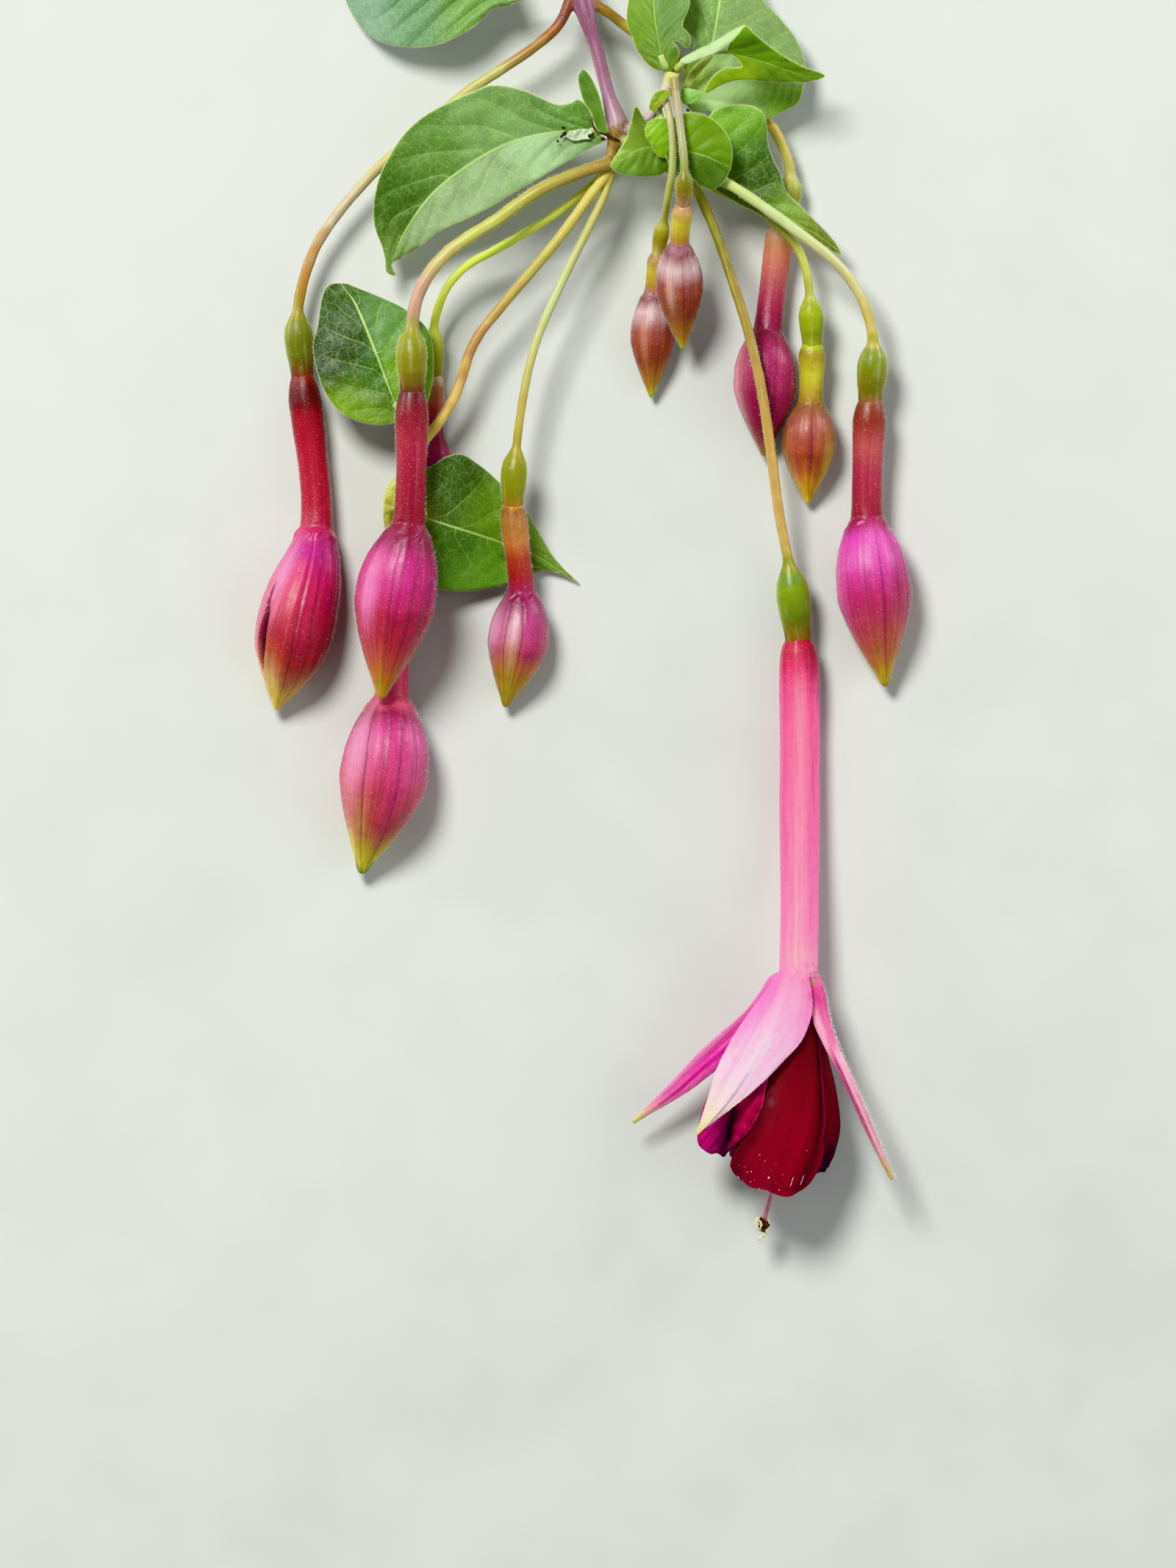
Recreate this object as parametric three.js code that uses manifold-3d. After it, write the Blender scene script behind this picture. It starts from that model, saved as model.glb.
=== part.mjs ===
// A flowering shoot of a long-tubed fuchsia, cut from the plant and laid down on a flat surface.
//
// Millimetres. +Z points up from the surface, +Y runs towards the cut end of the stem, and the origin
// is on the surface under the middle of the shoot.
//
// Places are written [x, y, z]. x and y are read off a view from straight above, in pixels of a
// picture 1600 pixels wide, with y downwards; z is the height above the surface in millimetres.
// place() turns them into millimetres.

import * as THREE from 'three';
import { mergeVertices } from 'three/addons/utils/BufferGeometryUtils.js';
import Module from 'manifold-3d';

const wasm = await Module();
wasm.setup();

// ---------------------------------------------------------------- driving dimensions

const TUBE_LENGTH = 50; // the open flower's tube, ovary to sepals
const TUBE_LENGTH_PX = 460; // the same length in the view from above
const MM_PER_PX = TUBE_LENGTH / TUBE_LENGTH_PX;
const ORIGIN_PX = { x: 792.9, y: 759.8 }; // the middle of the shoot in that view

const GAP = 0.3; // clearance between pieces that touch on the plant
const PRESS = 0.12; // how far a soft bud flattens where it rests on the surface
const BLADE = 0.7; // thickness of leaves
const PETAL = 0.62; // thickness of sepals and petals
const LEAF_STALK = 0.55; // radius
const STALK_SIDES = 7;
const BUD_SIDES = 16;
const YOUNG_BUD_SIDES = 12;
const UP = new THREE.Vector3(0, 0, 1);

// ---------------------------------------------------------------- the plant

// Stem: the main axis from its cut end to the fork, the side axis, and a thin twig that runs
// underneath the stalk of the left bud to the two lower leaves.
const STEM = {
  main: {
    path: [[752, -150, 1.3], [768, -90, 4.6], [789, -8, 9], [810, 62, 10], [826, 124, 10.6], [840, 178, 11],
      [833, 205, 11.2], [831, 224, 11.2]],
    radii: [1.3, 1.35, 1.65, 1.02, 0.98, 1.75, 0.85, 0.9],
  },
  side: {
    path: [[838, 184, 11.2], [866, 172, 12.2], [890, 152, 13.2], [906, 124, 13.8], [915, 98, 14.2]],
    radii: [0.9, 0.75, 0.75, 0.85, 1.15],
  },
  twig: {
    path: [[832, 214, 10.6], [800, 231, 10], [768, 243, 10.2], [737, 257, 10.6], [705, 278, 11], [674, 301, 11.2],
      [642, 321, 11.2], [610, 344, 11], [583, 375, 10.7], [567, 410, 10.3], [560, 450, 9.9], [556, 520, 9.7],
      [556, 590, 9.7]],
    radii: [0.6, 0.6, 0.6, 0.6, 0.6, 0.6, 0.6, 0.6, 0.6, 0.6, 0.6, 0.6, 0.65],
  },
};

// Each bud: the stalk from the stem to the ovary, then the neck (ovary meets tube), the throat (tube
// meets sepals), the belly (widest place of the closed sepals) and the tip. A belly with no height
// rests on the surface. root is the length of stalk that belongs to the stem, and seam the angle of
// the first line between two sepals, from the side towards the top.
const BUDS = {
  far_left: {
    stalk: [[778, -4, 9.4], [760, 34, 9.3], [728, 63, 8.9], [690, 89, 8.4], [640, 122, 7.8], [595, 158, 7.2],
      [553, 194, 6.6], [519, 224, 6.3], [484, 260, 6], [453, 298, 5.8], [430, 334, 5.6], [412, 384, 5.2],
      [405, 428, 5]],
    neck: [411, 510, 4], throat: [430, 720, 3.9], belly: [402, 850], tip: [375, 965, 2.8],
    radius: { stalk: 0.78, ovary: 2.15, tube: 2.35, belly: 5.85 }, root: 3.2, seam: 20,
    profile: [[0.02, 0.5], [0.13, 0.67], [0.24, 0.83], [0.35, 0.94], [0.45, 0.99], [0.54, 1], [0.665, 0.915],
      [0.78, 0.685], [0.885, 0.4], [0.95, 0.16], [1, 0.02]],
  },
  front_left: {
    stalk: [[831, 223, 12], [800, 232, 13.2], [768, 244, 14], [737, 258, 14.7], [705, 279, 15.2],
      [674, 302, 15.7], [642, 322, 16.1], [610, 345, 16.2], [583, 376, 16], [567, 410, 15.8], [561, 450, 15.5]],
    neck: [561, 533, 15], throat: [556, 716, 13.6], belly: [540, 800, 12.7], tip: [518, 952, 9.8],
    radius: { stalk: 0.95, ovary: 2.3, tube: 2.35, belly: 6 }, root: 3, seam: 65,
  },
  behind_left: {
    stalk: [[828, 226, 10.6], [814, 244, 9.8], [789, 266, 9.4], [758, 290, 9.2], [716, 316, 9], [674, 340, 8.6],
      [637, 360, 7.6], [610, 388, 6.2], [595, 422, 4.8], [590, 448, 4]],
    neck: [589, 512, 3.2], throat: [589, 592, 2.9], belly: [588, 635], tip: [580, 722, 2],
    radius: { stalk: 0.62, ovary: 1.6, tube: 1.6, belly: 3.3 }, root: 2.4, seam: 45,
  },
  low_left: {
    stalk: [[830, 227, 11.2], [819, 245, 11.4], [797, 275, 11.2], [768, 315, 10.7], [737, 353, 10.1],
      [705, 390, 9.4], [674, 427, 8.7], [652, 455, 8.3], [639, 480, 8.1], [630, 508, 7.8], [620, 536, 7.6],
      [601, 569, 7.4], [572, 607, 7], [548, 650, 5.7]],
    neck: [539, 735, 3.9], throat: [532, 952, 4.4], belly: [523, 1045], tip: [491, 1189, 2.6],
    radius: { stalk: 0.75, ovary: 2.25, tube: 2.45, belly: 6.5 }, root: 3.4, seam: 30,
  },
  middle: {
    stalk: [[833, 228, 11], [822, 266, 10.7], [803, 306, 10.5], [781, 350, 10.2], [752, 411, 10], [734, 453, 9.8],
      [720, 500, 9.5], [710, 552, 9.1], [702, 614, 8.6]],
    neck: [698, 688, 7.6], throat: [709, 804, 5.1], belly: [706, 862], tip: [687, 962, 2.4],
    radius: { stalk: 0.62, ovary: 1.95, tube: 1.95, belly: 4.55 }, root: 3, seam: 75,
  },
  young_front: {
    stalk: [[917, 108, 14.8], [921, 139, 15.7], [925, 171, 16.2], [929, 206, 16.9], [931, 236, 16.9]],
    neck: [929, 281, 15.2], throat: [924, 334, 12], belly: [924, 378, 9.4], tip: [929, 475, 6],
    radius: { stalk: 0.62, ovary: 1.3, tube: 1.5, belly: 3.5 }, root: 1.8, seam: 45,
  },
  young_back: {
    stalk: [[903, 138, 14.2], [908, 160, 15.7], [912, 195, 16.1], [911, 236, 16], [908, 268, 13.6],
      [904, 302, 9]],
    neck: [895, 346, 5.9], throat: [889, 398, 3.6], belly: [888, 446], tip: [886, 540, 1.9],
    radius: { stalk: 0.55, ovary: 1.2, tube: 1.35, belly: 3.25 }, root: 1.6, seam: 45,
  },
  behind_right: {
    stalk: [[794, -2, 8.8], [826, 16, 8.4], [857, 40, 7.8], [910, 74, 6.6], [960, 104, 5.6], [1010, 134, 4.9],
      [1048, 168, 4.3], [1069, 208, 3.8], [1076, 240, 3.4]],
    neck: [1065, 300, 2.9], throat: [1045, 448, 3.4], belly: [1041, 512], tip: [1040, 620, 2.2],
    radius: { stalk: 0.78, ovary: 2, tube: 2.1, belly: 4.65 }, root: 3, seam: 40,
  },
  young_right: {
    stalk: [[842, 192, 9.9], [864, 209, 8], [900, 226, 6.6], [946, 244, 6.1], [1000, 269, 6.2], [1040, 291, 6.2],
      [1067, 315, 6.1], [1085, 336, 6.2], [1096, 364, 6.4], [1102, 406, 6]],
    neck: [1105, 469, 5.2], throat: [1103, 546, 3.9], belly: [1101, 594], tip: [1099, 684, 2],
    radius: { stalk: 0.62, ovary: 1.85, tube: 1.9, belly: 4 }, root: 2.6, seam: 45,
  },
  far_right: {
    stalk: [[843, 190, 11.6], [885, 207, 12.1], [925, 224, 12], [960, 237, 12], [992, 252, 12], [1032, 278, 12],
      [1075, 309, 11.6], [1115, 339, 10.8], [1148, 370, 9.4], [1171, 404, 8.2], [1184, 440, 7.3], [1188, 470, 6.7]],
    neck: [1184, 545, 5.5], throat: [1180, 706, 4.6], belly: [1187, 786], tip: [1205, 934, 3],
    radius: { stalk: 0.78, ovary: 2.25, tube: 2.35, belly: 5.5 }, root: 3, seam: 55,
  },
};

// Shape of a closed bud from throat to tip: [share of the way, share of the belly's radius]. The far
// left bud has a profile of its own, since its widest place is lower.
const BUD_PROFILE = [[0.02, 0.5], [0.1, 0.7], [0.2, 0.87], [0.32, 0.98], [0.44, 1], [0.56, 0.89], [0.69, 0.69],
  [0.82, 0.43], [0.93, 0.17], [1, 0.02]];
const SEAM_DEPTH = 0.09; // share of the radius that a line between two sepals is sunk

// The open flower: its stalk and tube, then the axis of the corolla from the mouth to its lower edge.
const FLOWER = {
  stalk: [[876, 164, 12.6], [889, 184, 11.2], [905, 208, 10.3], [924, 230, 10], [946, 257, 10.1], [974, 318, 10.9], [996, 381, 11.7],
    [1018, 452, 11.7], [1034, 521, 11.2], [1049, 617, 9.4], [1060, 697, 7.4], [1074, 772, 5.4]],
  neck: [1086, 870, 4],
  tube: [[1088, 950, 3.6], [1088, 1100, 4], [1088, 1240, 6], [1086, 1334, 8.2]],
  radius: { stalk: 0.75, ovary: 2.5, tube: 2.85 },
  root: 2.4,
  corollaEnd: [1056, 1627, 8.6],
  pistil: [[1085, 1346, 8.24], [1071, 1480, 8.4], [1058, 1580, 7.6], [1047, 1632, 6.6], [1037, 1668, 5.8]],
};

// Sepals of the open flower. rib runs from root to tip; the sides are seen from above, right and left
// of the way from root to tip: width in pixels, and rise of the margin over the rib in millimetres.
const SEPALS = {
  front: {
    rib: [[1080, 1322, 9.6], [1067, 1362, 13], [1046, 1402, 15.2], [1017, 1453, 16.4], [984, 1500, 16.4],
      [947, 1542, 15.6]],
    right: { width: [20, 29, 36, 40, 36, 21, 3], rise: [-0.4, -1, -1.4, -1.4, -1, -0.5, 0] },
    left: { width: [25, 40, 46, 35, 23, 11, 3], rise: [-0.4, -1.2, -1.6, -1.2, -0.6, -0.2, 0] },
  },
  left: {
    rib: [[1066, 1322, 7.6], [1031, 1382, 7.6], [997, 1413, 7.4], [962, 1444, 7], [922, 1480, 6.2], [861, 1527, 5]],
    right: { width: [12, 16, 18, 18, 15, 9, 2], rise: [1.2, 2.2, 2.6, 2.4, 1.8, 1, 0.1] },
    left: { width: [12, 16, 18, 18, 15, 9, 2], rise: [-1.2, -2.2, -2.6, -2.4, -1.8, -1, -0.1] },
  },
  right: {
    rib: [[1108, 1322, 8.4], [1123, 1368, 9.8], [1136, 1416, 11], [1154, 1474, 11.6], [1181, 1540, 11.2],
      [1213, 1604, 9.8]],
    right: { width: [5, 6, 8, 8, 7, 5, 2], rise: [-1, -1.9, -2.3, -2.3, -1.8, -1, -0.1] },
    left: { width: [5, 6, 8, 8, 7, 5, 2], rise: [1, 1.9, 2.3, 2.3, 1.8, 1, 0.1] },
  },
  back: {
    rib: [[1088, 1318, 6.6], [1084, 1380, 2.6], [1078, 1450, 0.9], [1072, 1520, 0.35], [1066, 1598, 0.28]],
    right: { width: [16, 30, 36, 34, 26, 14, 3], rise: [0, 0.3, 0.4, 0.4, 0.3, 0.1, 0] },
    left: { width: [16, 30, 36, 34, 26, 14, 3], rise: [0, 0.3, 0.4, 0.4, 0.3, 0.1, 0] },
  },
};

// Petals stand round the corolla's axis. turn is the angle of the petal's middle from the right-hand
// side towards the top, spread half its angle, and reach its length as a share of the axis.
const PETALS = {
  right: { turn: -8, spread: 54, reach: 0.9, bulge: 1.04 },
  front: { turn: 82, spread: 60, reach: 1.0, bulge: 1.02 },
  left: { turn: 176, spread: 52, reach: 0.86, bulge: 1.56, flat: 0.5 },
  back: { turn: 262, spread: 50, reach: 0.96, bulge: 1 },
};
const COROLLA_RADIUS = [1.6, 2.4, 4.3, 6.3, 7.6, 7.9, 7.2]; // at equal steps from mouth to edge
const COROLLA_FLAT = 0.84; // height over width, pressed by its own weight
const PETAL_LAP = 0.68; // how far one edge stands out over, and the other in under, the next petal

// Leaves. rib runs from the blade's root to its tip, and stalk from the stem to the blade. Each side
// has seven values from root to tip: width in pixels, rise of the margin over the rib in millimetres,
// and lean, how far the margin is drawn towards the tip, in pixels.
const LEAVES = {
  top_left: {
    stalk: [[785, -16, 9.2], [738, -8, 10.1], [690, 0, 9.4]],
    rib: [[696, 0, 9.4], [640, -20, 8.8], [580, -34, 7.2], [520, -46, 4.4], [462, -58, 1.2]],
    right: { width: [20, 62, 86, 90, 76, 44, 3], rise: [0.4, 0.8, 1, 0.6, 0, -0.6, 0] },
    left: { width: [22, 66, 90, 96, 86, 52, 3], rise: [0.2, 0.2, 0, -0.6, -1.4, -1.4, 0], lean: [0, 6, 10, 12, 8, 4, 0] },
  },
  left: {
    stalk: [[838, 182, 11.6], [822, 180, 12], [802, 177, 11.6]],
    rib: [[808, 177, 11.8], [750, 180, 11.4], [692, 196, 10.7], [640, 224, 9.8], [592, 262, 8.7], [555, 311, 7.4],
      [530, 366, 5.8]],
    right: { width: [19, 38, 84, 84, 78, 55, 3], rise: [0.4, 1, 1.4, 1.5, 1.1, 0.6, 0], lean: [5, -5, -8, 0, 4, -6, 0] },
    left: { width: [21, 46, 58, 61, 51, 33, 3], rise: [0.3, 1, 1.5, 1.7, 1.5, 0.9, 0], lean: [-7, 2, -3, -6, -3, 4, 0] },
  },
  low_left: {
    stalk: [[556, 588, 9.9], [552, 572, 9.9], [536, 548, 9.5]],
    rib: [[540, 553, 9.5], [526, 516, 9.1], [511, 478, 8.8], [495, 439, 8.3], [484, 414, 7.2], [470, 388, 5.2]],
    right: {
      width: [25, 50, 68, 78, 71, 42, 4], rise: [0, -0.4, -0.9, -1.3, -1.4, -1, 0],
      lean: [-12, -24, -18, -14, -16, -9, 0],
    },
    left: {
      width: [31, 72, 85, 85, 71, 45, 18], rise: [0, -0.2, -0.5, -0.8, -1, -0.8, 0],
      lean: [-15, -17, 5, 4, 5, 12, 0],
    },
  },
  low_middle: {
    stalk: [[556, 592, 9.9], [556, 640, 9.8], [578, 702, 9.2]],
    rib: [[574, 703, 9.2], [601, 712, 8.8], [626, 720, 7.6], [651, 728, 6], [683, 739, 4.1], [726, 757, 2.3],
      [787, 795, 0.8]],
    right: {
      width: [52, 84, 76, 54, 22, 8, 3], rise: [-2.4, -2.8, -2.4, -1.6, -0.6, 0, 0],
      lean: [7, 15, 15, 14, 8, 3, 0],
    },
    left: {
      width: [62, 91, 92, 70, 47, 21, 3], rise: [-0.2, -0.6, -1, -1.2, -0.8, -0.2, 0],
      lean: [-9, -25, -22, -17, -13, -12, 0],
    },
  },
  top_centre: {
    stalk: [[911, 97, 14.2], [903, 88, 14.9], [898, 74, 14.9]],
    rib: [[906, 92, 14.9], [897, 62, 14.3], [890, 26, 13], [888, -12, 11.2], [892, -52, 9]],
    right: { width: [4, 22, 40, 48, 42, 24, 3], rise: [0, 0.4, 0.7, 0.8, 0.6, 0.3, 0] },
    left: { width: [8, 28, 34, 34, 30, 18, 3], rise: [0, -0.6, -1, -1.2, -1, -0.5, 0] },
  },
  top_right: {
    stalk: [[908, 118, 13.2], [922, 132, 11.2], [938, 134, 9.7]],
    rib: [[934, 137, 9.9], [950, 98, 9.3], [965, 54, 8.4], [975, 8, 7], [983, -42, 4.6], [990, -92, 1.3]],
    right: {
      width: [62, 132, 132, 118, 88, 46, 3], rise: [-2.6, -3.4, -3, -2.4, -1.6, -0.6, 0],
      lean: [-34, -26, -10, 0, 0, 0, 0],
    },
    left: { width: [4, 22, 34, 42, 38, 22, 3], rise: [0, -0.4, -0.8, -0.9, -0.7, -0.3, 0] },
  },
  tip_right: {
    stalk: [[919, 96, 14.2], [931, 86, 15.2], [948, 77, 15.8]],
    rib: [[940, 78, 15.8], [985, 72, 15.8], [1030, 83, 15], [1075, 96, 13.6], [1122, 106, 11.8]],
    right: { width: [4, 12, 32, 36, 32, 18, 3], rise: [0, 0.2, 0.2, -0.2, -0.4, -0.2, 0], lean: [0, 0, -34, -12, 0, 0, 0] },
    left: { width: [5, 10, 22, 32, 20, 7, 3], rise: [1.2, 2.2, 2.2, 1.6, 1, 0.4, 0], lean: [0, 0, 2, 6, 0, 0, 0] },
  },
  centre_round: {
    stalk: [[894, 146, 13.4], [901, 170, 14.4], [903, 200, 14.6]],
    rib: [[898, 202, 14.6], [928, 206, 14.6], [960, 214, 14.4], [990, 228, 13.8]],
    right: { width: [12, 32, 44, 48, 44, 30, 4], rise: [0, -0.2, -0.3, -0.4, -0.4, -0.2, 0] },
    left: { width: [16, 42, 50, 50, 44, 30, 4], rise: [0, 0.1, 0.1, 0, -0.2, -0.2, 0] },
  },
  centre_folded: {
    stalk: [[860, 176, 12.1], [878, 190, 12.9], [900, 199, 13.5]],
    rib: [[906, 200, 13.5], [880, 203, 13.8], [857, 213, 14.2], [832, 228, 14.2]],
    right: { width: [24, 32, 48, 60, 34, 14, 3], rise: [-0.2, 0.2, 0.7, 1, 0.8, 0.4, 0], lean: [0, 0, 2, 0, -2, -6, 0] },
    left: { width: [30, 34, 33, 27, 18, 9, 3], rise: [-0.2, -0.4, -0.5, -0.5, -0.4, -0.2, 0] },
  },
  right: {
    stalk: [[846, 184, 10.2], [880, 199, 9], [918, 217, 8.4], [950, 234, 8.2]],
    rib: [[946, 232, 8.2], [990, 257, 8.5], [1035, 280, 8.4], [1075, 300, 7.9], [1110, 321, 6.8], [1141, 342, 5.2]],
    right: { width: [5, 12, 15, 20, 22, 9, 3], rise: [0, -0.2, -0.2, -0.2, 0, 0, 0] },
    left: {
      width: [82, 114, 106, 68, 31, 21, 3], rise: [1.9, 1.6, 1, 0.2, -0.2, -0.2, 0],
      lean: [-19, -12, -23, -30, -21, -18, 0],
    },
  },
};

const LEAFLETS = {
  beside_stem: {
    rib: [[822, 172, 13.2], [812, 142, 13.9], [801, 117, 14.3], [789, 97, 14.6]],
    right: { width: [4, 9, 11, 9, 7, 5, 3], rise: [0.2, 0.5, 0.6, 0.5, 0.3, 0.1, 0] },
    left: { width: [4, 8, 10, 11, 9, 6, 3], rise: [0.2, 0.5, 0.6, 0.5, 0.3, 0.1, 0] },
  },
  beside_fork: {
    rib: [[906, 124, 15], [898, 134, 15.7], [890, 144, 15.9], [883, 153, 15.8]],
    right: { width: [4, 6, 7, 7, 6, 5, 3], rise: [0, 0.1, 0.2, 0.2, 0.1, 0, 0] },
    left: { width: [4, 6, 7, 7, 6, 5, 3], rise: [0, 0.1, 0.2, 0.2, 0.1, 0, 0] },
  },
};

// ---------------------------------------------------------------- geometry helpers

const place = ([x, y, z]) =>
  new THREE.Vector3((x - ORIGIN_PX.x) * MM_PER_PX, (ORIGIN_PX.y - y) * MM_PER_PX, z);

const curveThrough = (points) => new THREE.CatmullRomCurve3(points.map(place));

/** Distance along a curve to each of its points. */
function lengthsAtPoints(curve) {
  const steps = 24;
  const lengths = curve.getLengths((curve.points.length - 1) * steps);
  return curve.points.map((_, i) => lengths[i * steps]);
}

/** A smooth function of 0..1 through values at equal steps. */
function smooth(values) {
  const curve = new THREE.SplineCurve(values.map((v, i) => new THREE.Vector2(i, v)));
  return (u) => curve.getPoint(Math.min(Math.max(u, 0), 1)).y;
}

/** The way along a curve at share u, with the level direction to its right and the one above it. */
function frameAt(curve, u) {
  const along = curve.getTangentAt(u);
  const side = new THREE.Vector3().crossVectors(along, UP).normalize();
  return { centre: curve.getPointAt(u), along, side, above: new THREE.Vector3().crossVectors(side, along) };
}

/** A closed round body bent along a curve. profile lists [distance along the curve, radius]. */
function bentLathe(curve, profile, sides, swell = () => 1) {
  const length = curve.getLength();
  const ends = [[profile[0][0], 0], ...profile, [profile.at(-1)[0], 0]];
  const geometry = new THREE.LatheGeometry(ends.map(([s, r]) => new THREE.Vector2(r, s)), sides);
  const position = geometry.attributes.position;
  const point = new THREE.Vector3();
  for (let i = 0; i < position.count; i += 1) {
    point.fromBufferAttribute(position, i);
    const { centre, side, above } = frameAt(curve, Math.min(Math.max(point.y / length, 0), 1));
    const k = swell(Math.atan2(point.z, point.x), point.y);
    centre.addScaledVector(side, point.x * k).addScaledVector(above, point.z * k);
    position.setXYZ(i, centre.x, centre.y, centre.z);
  }
  return toSolid(geometry);
}

/** A thin closed sheet over surface(u, v), u and v from 0 to 1, split alike on both faces. */
function sheet(surface, rows, columns, thickness) {
  const step = 1e-3;
  const faces = [[], []];
  for (let i = 0; i <= rows; i += 1) {
    for (let j = 0; j <= columns; j += 1) {
      const [u, v] = [i / rows, j / columns];
      const [u0, v0] = [Math.max(u - step, 0), Math.max(v - step, 0)];
      const alongU = surface(Math.min(u + step, 1), v).sub(surface(u0, v));
      const alongV = surface(u, Math.min(v + step, 1)).sub(surface(u, v0));
      const normal = alongV.cross(alongU).normalize();
      faces[0].push(surface(u, v).addScaledVector(normal, thickness / 2));
      faces[1].push(surface(u, v).addScaledVector(normal, -thickness / 2));
    }
  }
  const under = faces[0].length;
  const at = (i, j) => i * (columns + 1) + j;
  const index = [];
  const quad = (a, b, c, d) => index.push(a, b, c, a, c, d);
  for (let i = 0; i < rows; i += 1) {
    for (let j = 0; j < columns; j += 1) {
      const corners = [at(i, j), at(i, j + 1), at(i + 1, j + 1), at(i + 1, j)];
      quad(...corners);
      const [a, b, c, d] = corners.map((k) => k + under);
      index.push(a, c, b, a, d, c);
    }
  }
  const edge = [];
  for (let j = 0; j < columns; j += 1) edge.push(at(0, j));
  for (let i = 0; i < rows; i += 1) edge.push(at(i, columns));
  for (let j = columns; j > 0; j -= 1) edge.push(at(rows, j));
  for (let i = rows; i > 0; i -= 1) edge.push(at(i, 0));
  edge.forEach((a, k) => {
    const b = edge[(k + 1) % edge.length];
    quad(b, a, a + under, b + under);
  });
  const geometry = new THREE.BufferGeometry();
  geometry.setAttribute('position', new THREE.Float32BufferAttribute(
    [...faces[0], ...faces[1]].flatMap((p) => [p.x, p.y, p.z]), 3));
  geometry.setIndex(index);
  return toSolid(geometry);
}

/** A closed geometry as a solid that can be joined and cut. */
function toSolid(geometry) {
  geometry.deleteAttribute('normal');
  geometry.deleteAttribute('uv');
  const merged = mergeVertices(geometry, 1e-4);
  const index = [...merged.index.array];
  const kept = [];
  for (let i = 0; i < index.length; i += 3) {
    const [a, b, c] = index.slice(i, i + 3);
    if (a !== b && b !== c && c !== a) kept.push(a, b, c);
  }
  const solid = (triangles) => new wasm.Manifold(new wasm.Mesh({
    numProp: 3,
    vertProperties: Float32Array.from(merged.attributes.position.array),
    triVerts: Uint32Array.from(triangles),
  }));
  const made = solid(kept);
  return made.volume() > 0 ? made : solid(kept.reverse());
}

const ball = ({ x, y, z }, radius, detail = 1) =>
  toSolid(new THREE.IcosahedronGeometry(radius, detail).translate(x, y, z));
const join = (solids) => solids.reduce((a, b) => a.add(b));

/** Everything below the surface that the shoot rests on. */
const BELOW = toSolid(new THREE.BoxGeometry(400, 400, 20).translate(0, 0, -10));
const restOnSurface = (solid) => (solid.boundingBox().min[2] < 0 ? solid.subtract(BELOW) : solid);

// ---------------------------------------------------------------- stem and stalks

/** A branch of changing radius, one radius for each point of its path. */
function branch({ path, radii }, sides) {
  const curve = curveThrough(path);
  const profile = lengthsAtPoints(curve).map((s, i) => [s, radii[i]]);
  return join([bentLathe(curve, refine(profile, 6), sides), ball(place(path.at(-1)), radii.at(-1) * 1.02)]);
}

/** Adds points to a profile, so that no two are further apart than step. */
function refine(profile, step) {
  const finer = [profile[0]];
  for (let i = 1; i < profile.length; i += 1) {
    const [[s0, r0], [s1, r1]] = [profile[i - 1], profile[i]];
    const parts = Math.ceil((s1 - s0) / step);
    for (let k = 1; k <= parts; k += 1) {
      finer.push([s0 + ((s1 - s0) * k) / parts, r0 + ((r1 - r0) * k) / parts]);
    }
  }
  return finer;
}

/** The whole axis of a bud, from the stem to its tip, and the distances to its named places. */
function budAxis({ stalk, neck, throat, belly, tip, radius }) {
  const rest = belly.length === 3 ? belly : [...belly, radius.belly - PRESS];
  const curve = curveThrough([...stalk, neck, throat, rest, tip]);
  const at = lengthsAtPoints(curve);
  const n = stalk.length;
  return { curve, ovary: at[n - 1], neck: at[n], throat: at[n + 1], tip: at[n + 3] };
}

/** The flower's axis from the stem to the mouth of its tube. */
function flowerAxis({ stalk, neck, tube }) {
  const curve = curveThrough([...stalk, neck, ...tube]);
  const at = lengthsAtPoints(curve);
  const n = stalk.length;
  return { curve, ovary: at[n - 1], neck: at[n], throat: at.at(-1) };
}

/** The root of a stalk, which belongs to the stem and starts inside it. */
const stalkRoot = (axis, { root, radius }) =>
  bentLathe(axis.curve, refine([[0, radius.stalk * 1.05], [root, radius.stalk]], 2.4), STALK_SIDES);

/** A stalk, and the ovary that it swells into, up to the neck. */
function stalkAndOvary(axis, { root, radius }) {
  const { ovary, neck } = axis;
  const length = neck - ovary;
  const swelling = [[-0.04, 0.32], [0.1, 0.62], [0.26, 0.9], [0.46, 1], [0.74, 0.93], [1, 0.74]];
  const stalk = refine([[root > 0 ? root + GAP : 0, radius.stalk], [ovary - 0.12 * length, radius.stalk]], 4.6);
  const body = swelling.map(([k, r]) => [ovary + k * length, Math.max(radius.ovary * r, radius.stalk)]);
  return bentLathe(axis.curve, [...stalk, ...body], STALK_SIDES);
}

/** A tube and its closed sepals, with four sunk seams. */
function closedBud(axis, { radius, seam, profile: closed = BUD_PROFILE }, sides) {
  const { neck, throat, tip } = axis;
  const tubeLength = throat - neck;
  const bellyLength = tip - throat;
  const start = radius.ovary * 0.74;
  const tube = [[0, start], [0.05, radius.tube * 0.96], [0.16, radius.tube * 1.04], [0.5, radius.tube * 0.96],
    [0.86, radius.tube]];
  const profile = [
    ...tube.map(([k, r]) => [neck + GAP + k * (tubeLength - GAP), r]),
    ...closed.map(([k, r]) => [throat + k * bellyLength, Math.max(r * radius.belly, radius.tube * (1 - k * 1.1))]),
  ];
  const grooved = (angle, s) => {
    const turn = angle - THREE.MathUtils.degToRad(seam);
    const groove = Math.max(0, Math.cos(4 * turn)) ** 3;
    const fade = THREE.MathUtils.smoothstep(s, throat, throat + 0.2 * bellyLength);
    return 1 - SEAM_DEPTH * groove * fade;
  };
  return bentLathe(axis.curve, profile, sides, grooved);
}

// ---------------------------------------------------------------- leaves and sepals

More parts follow.
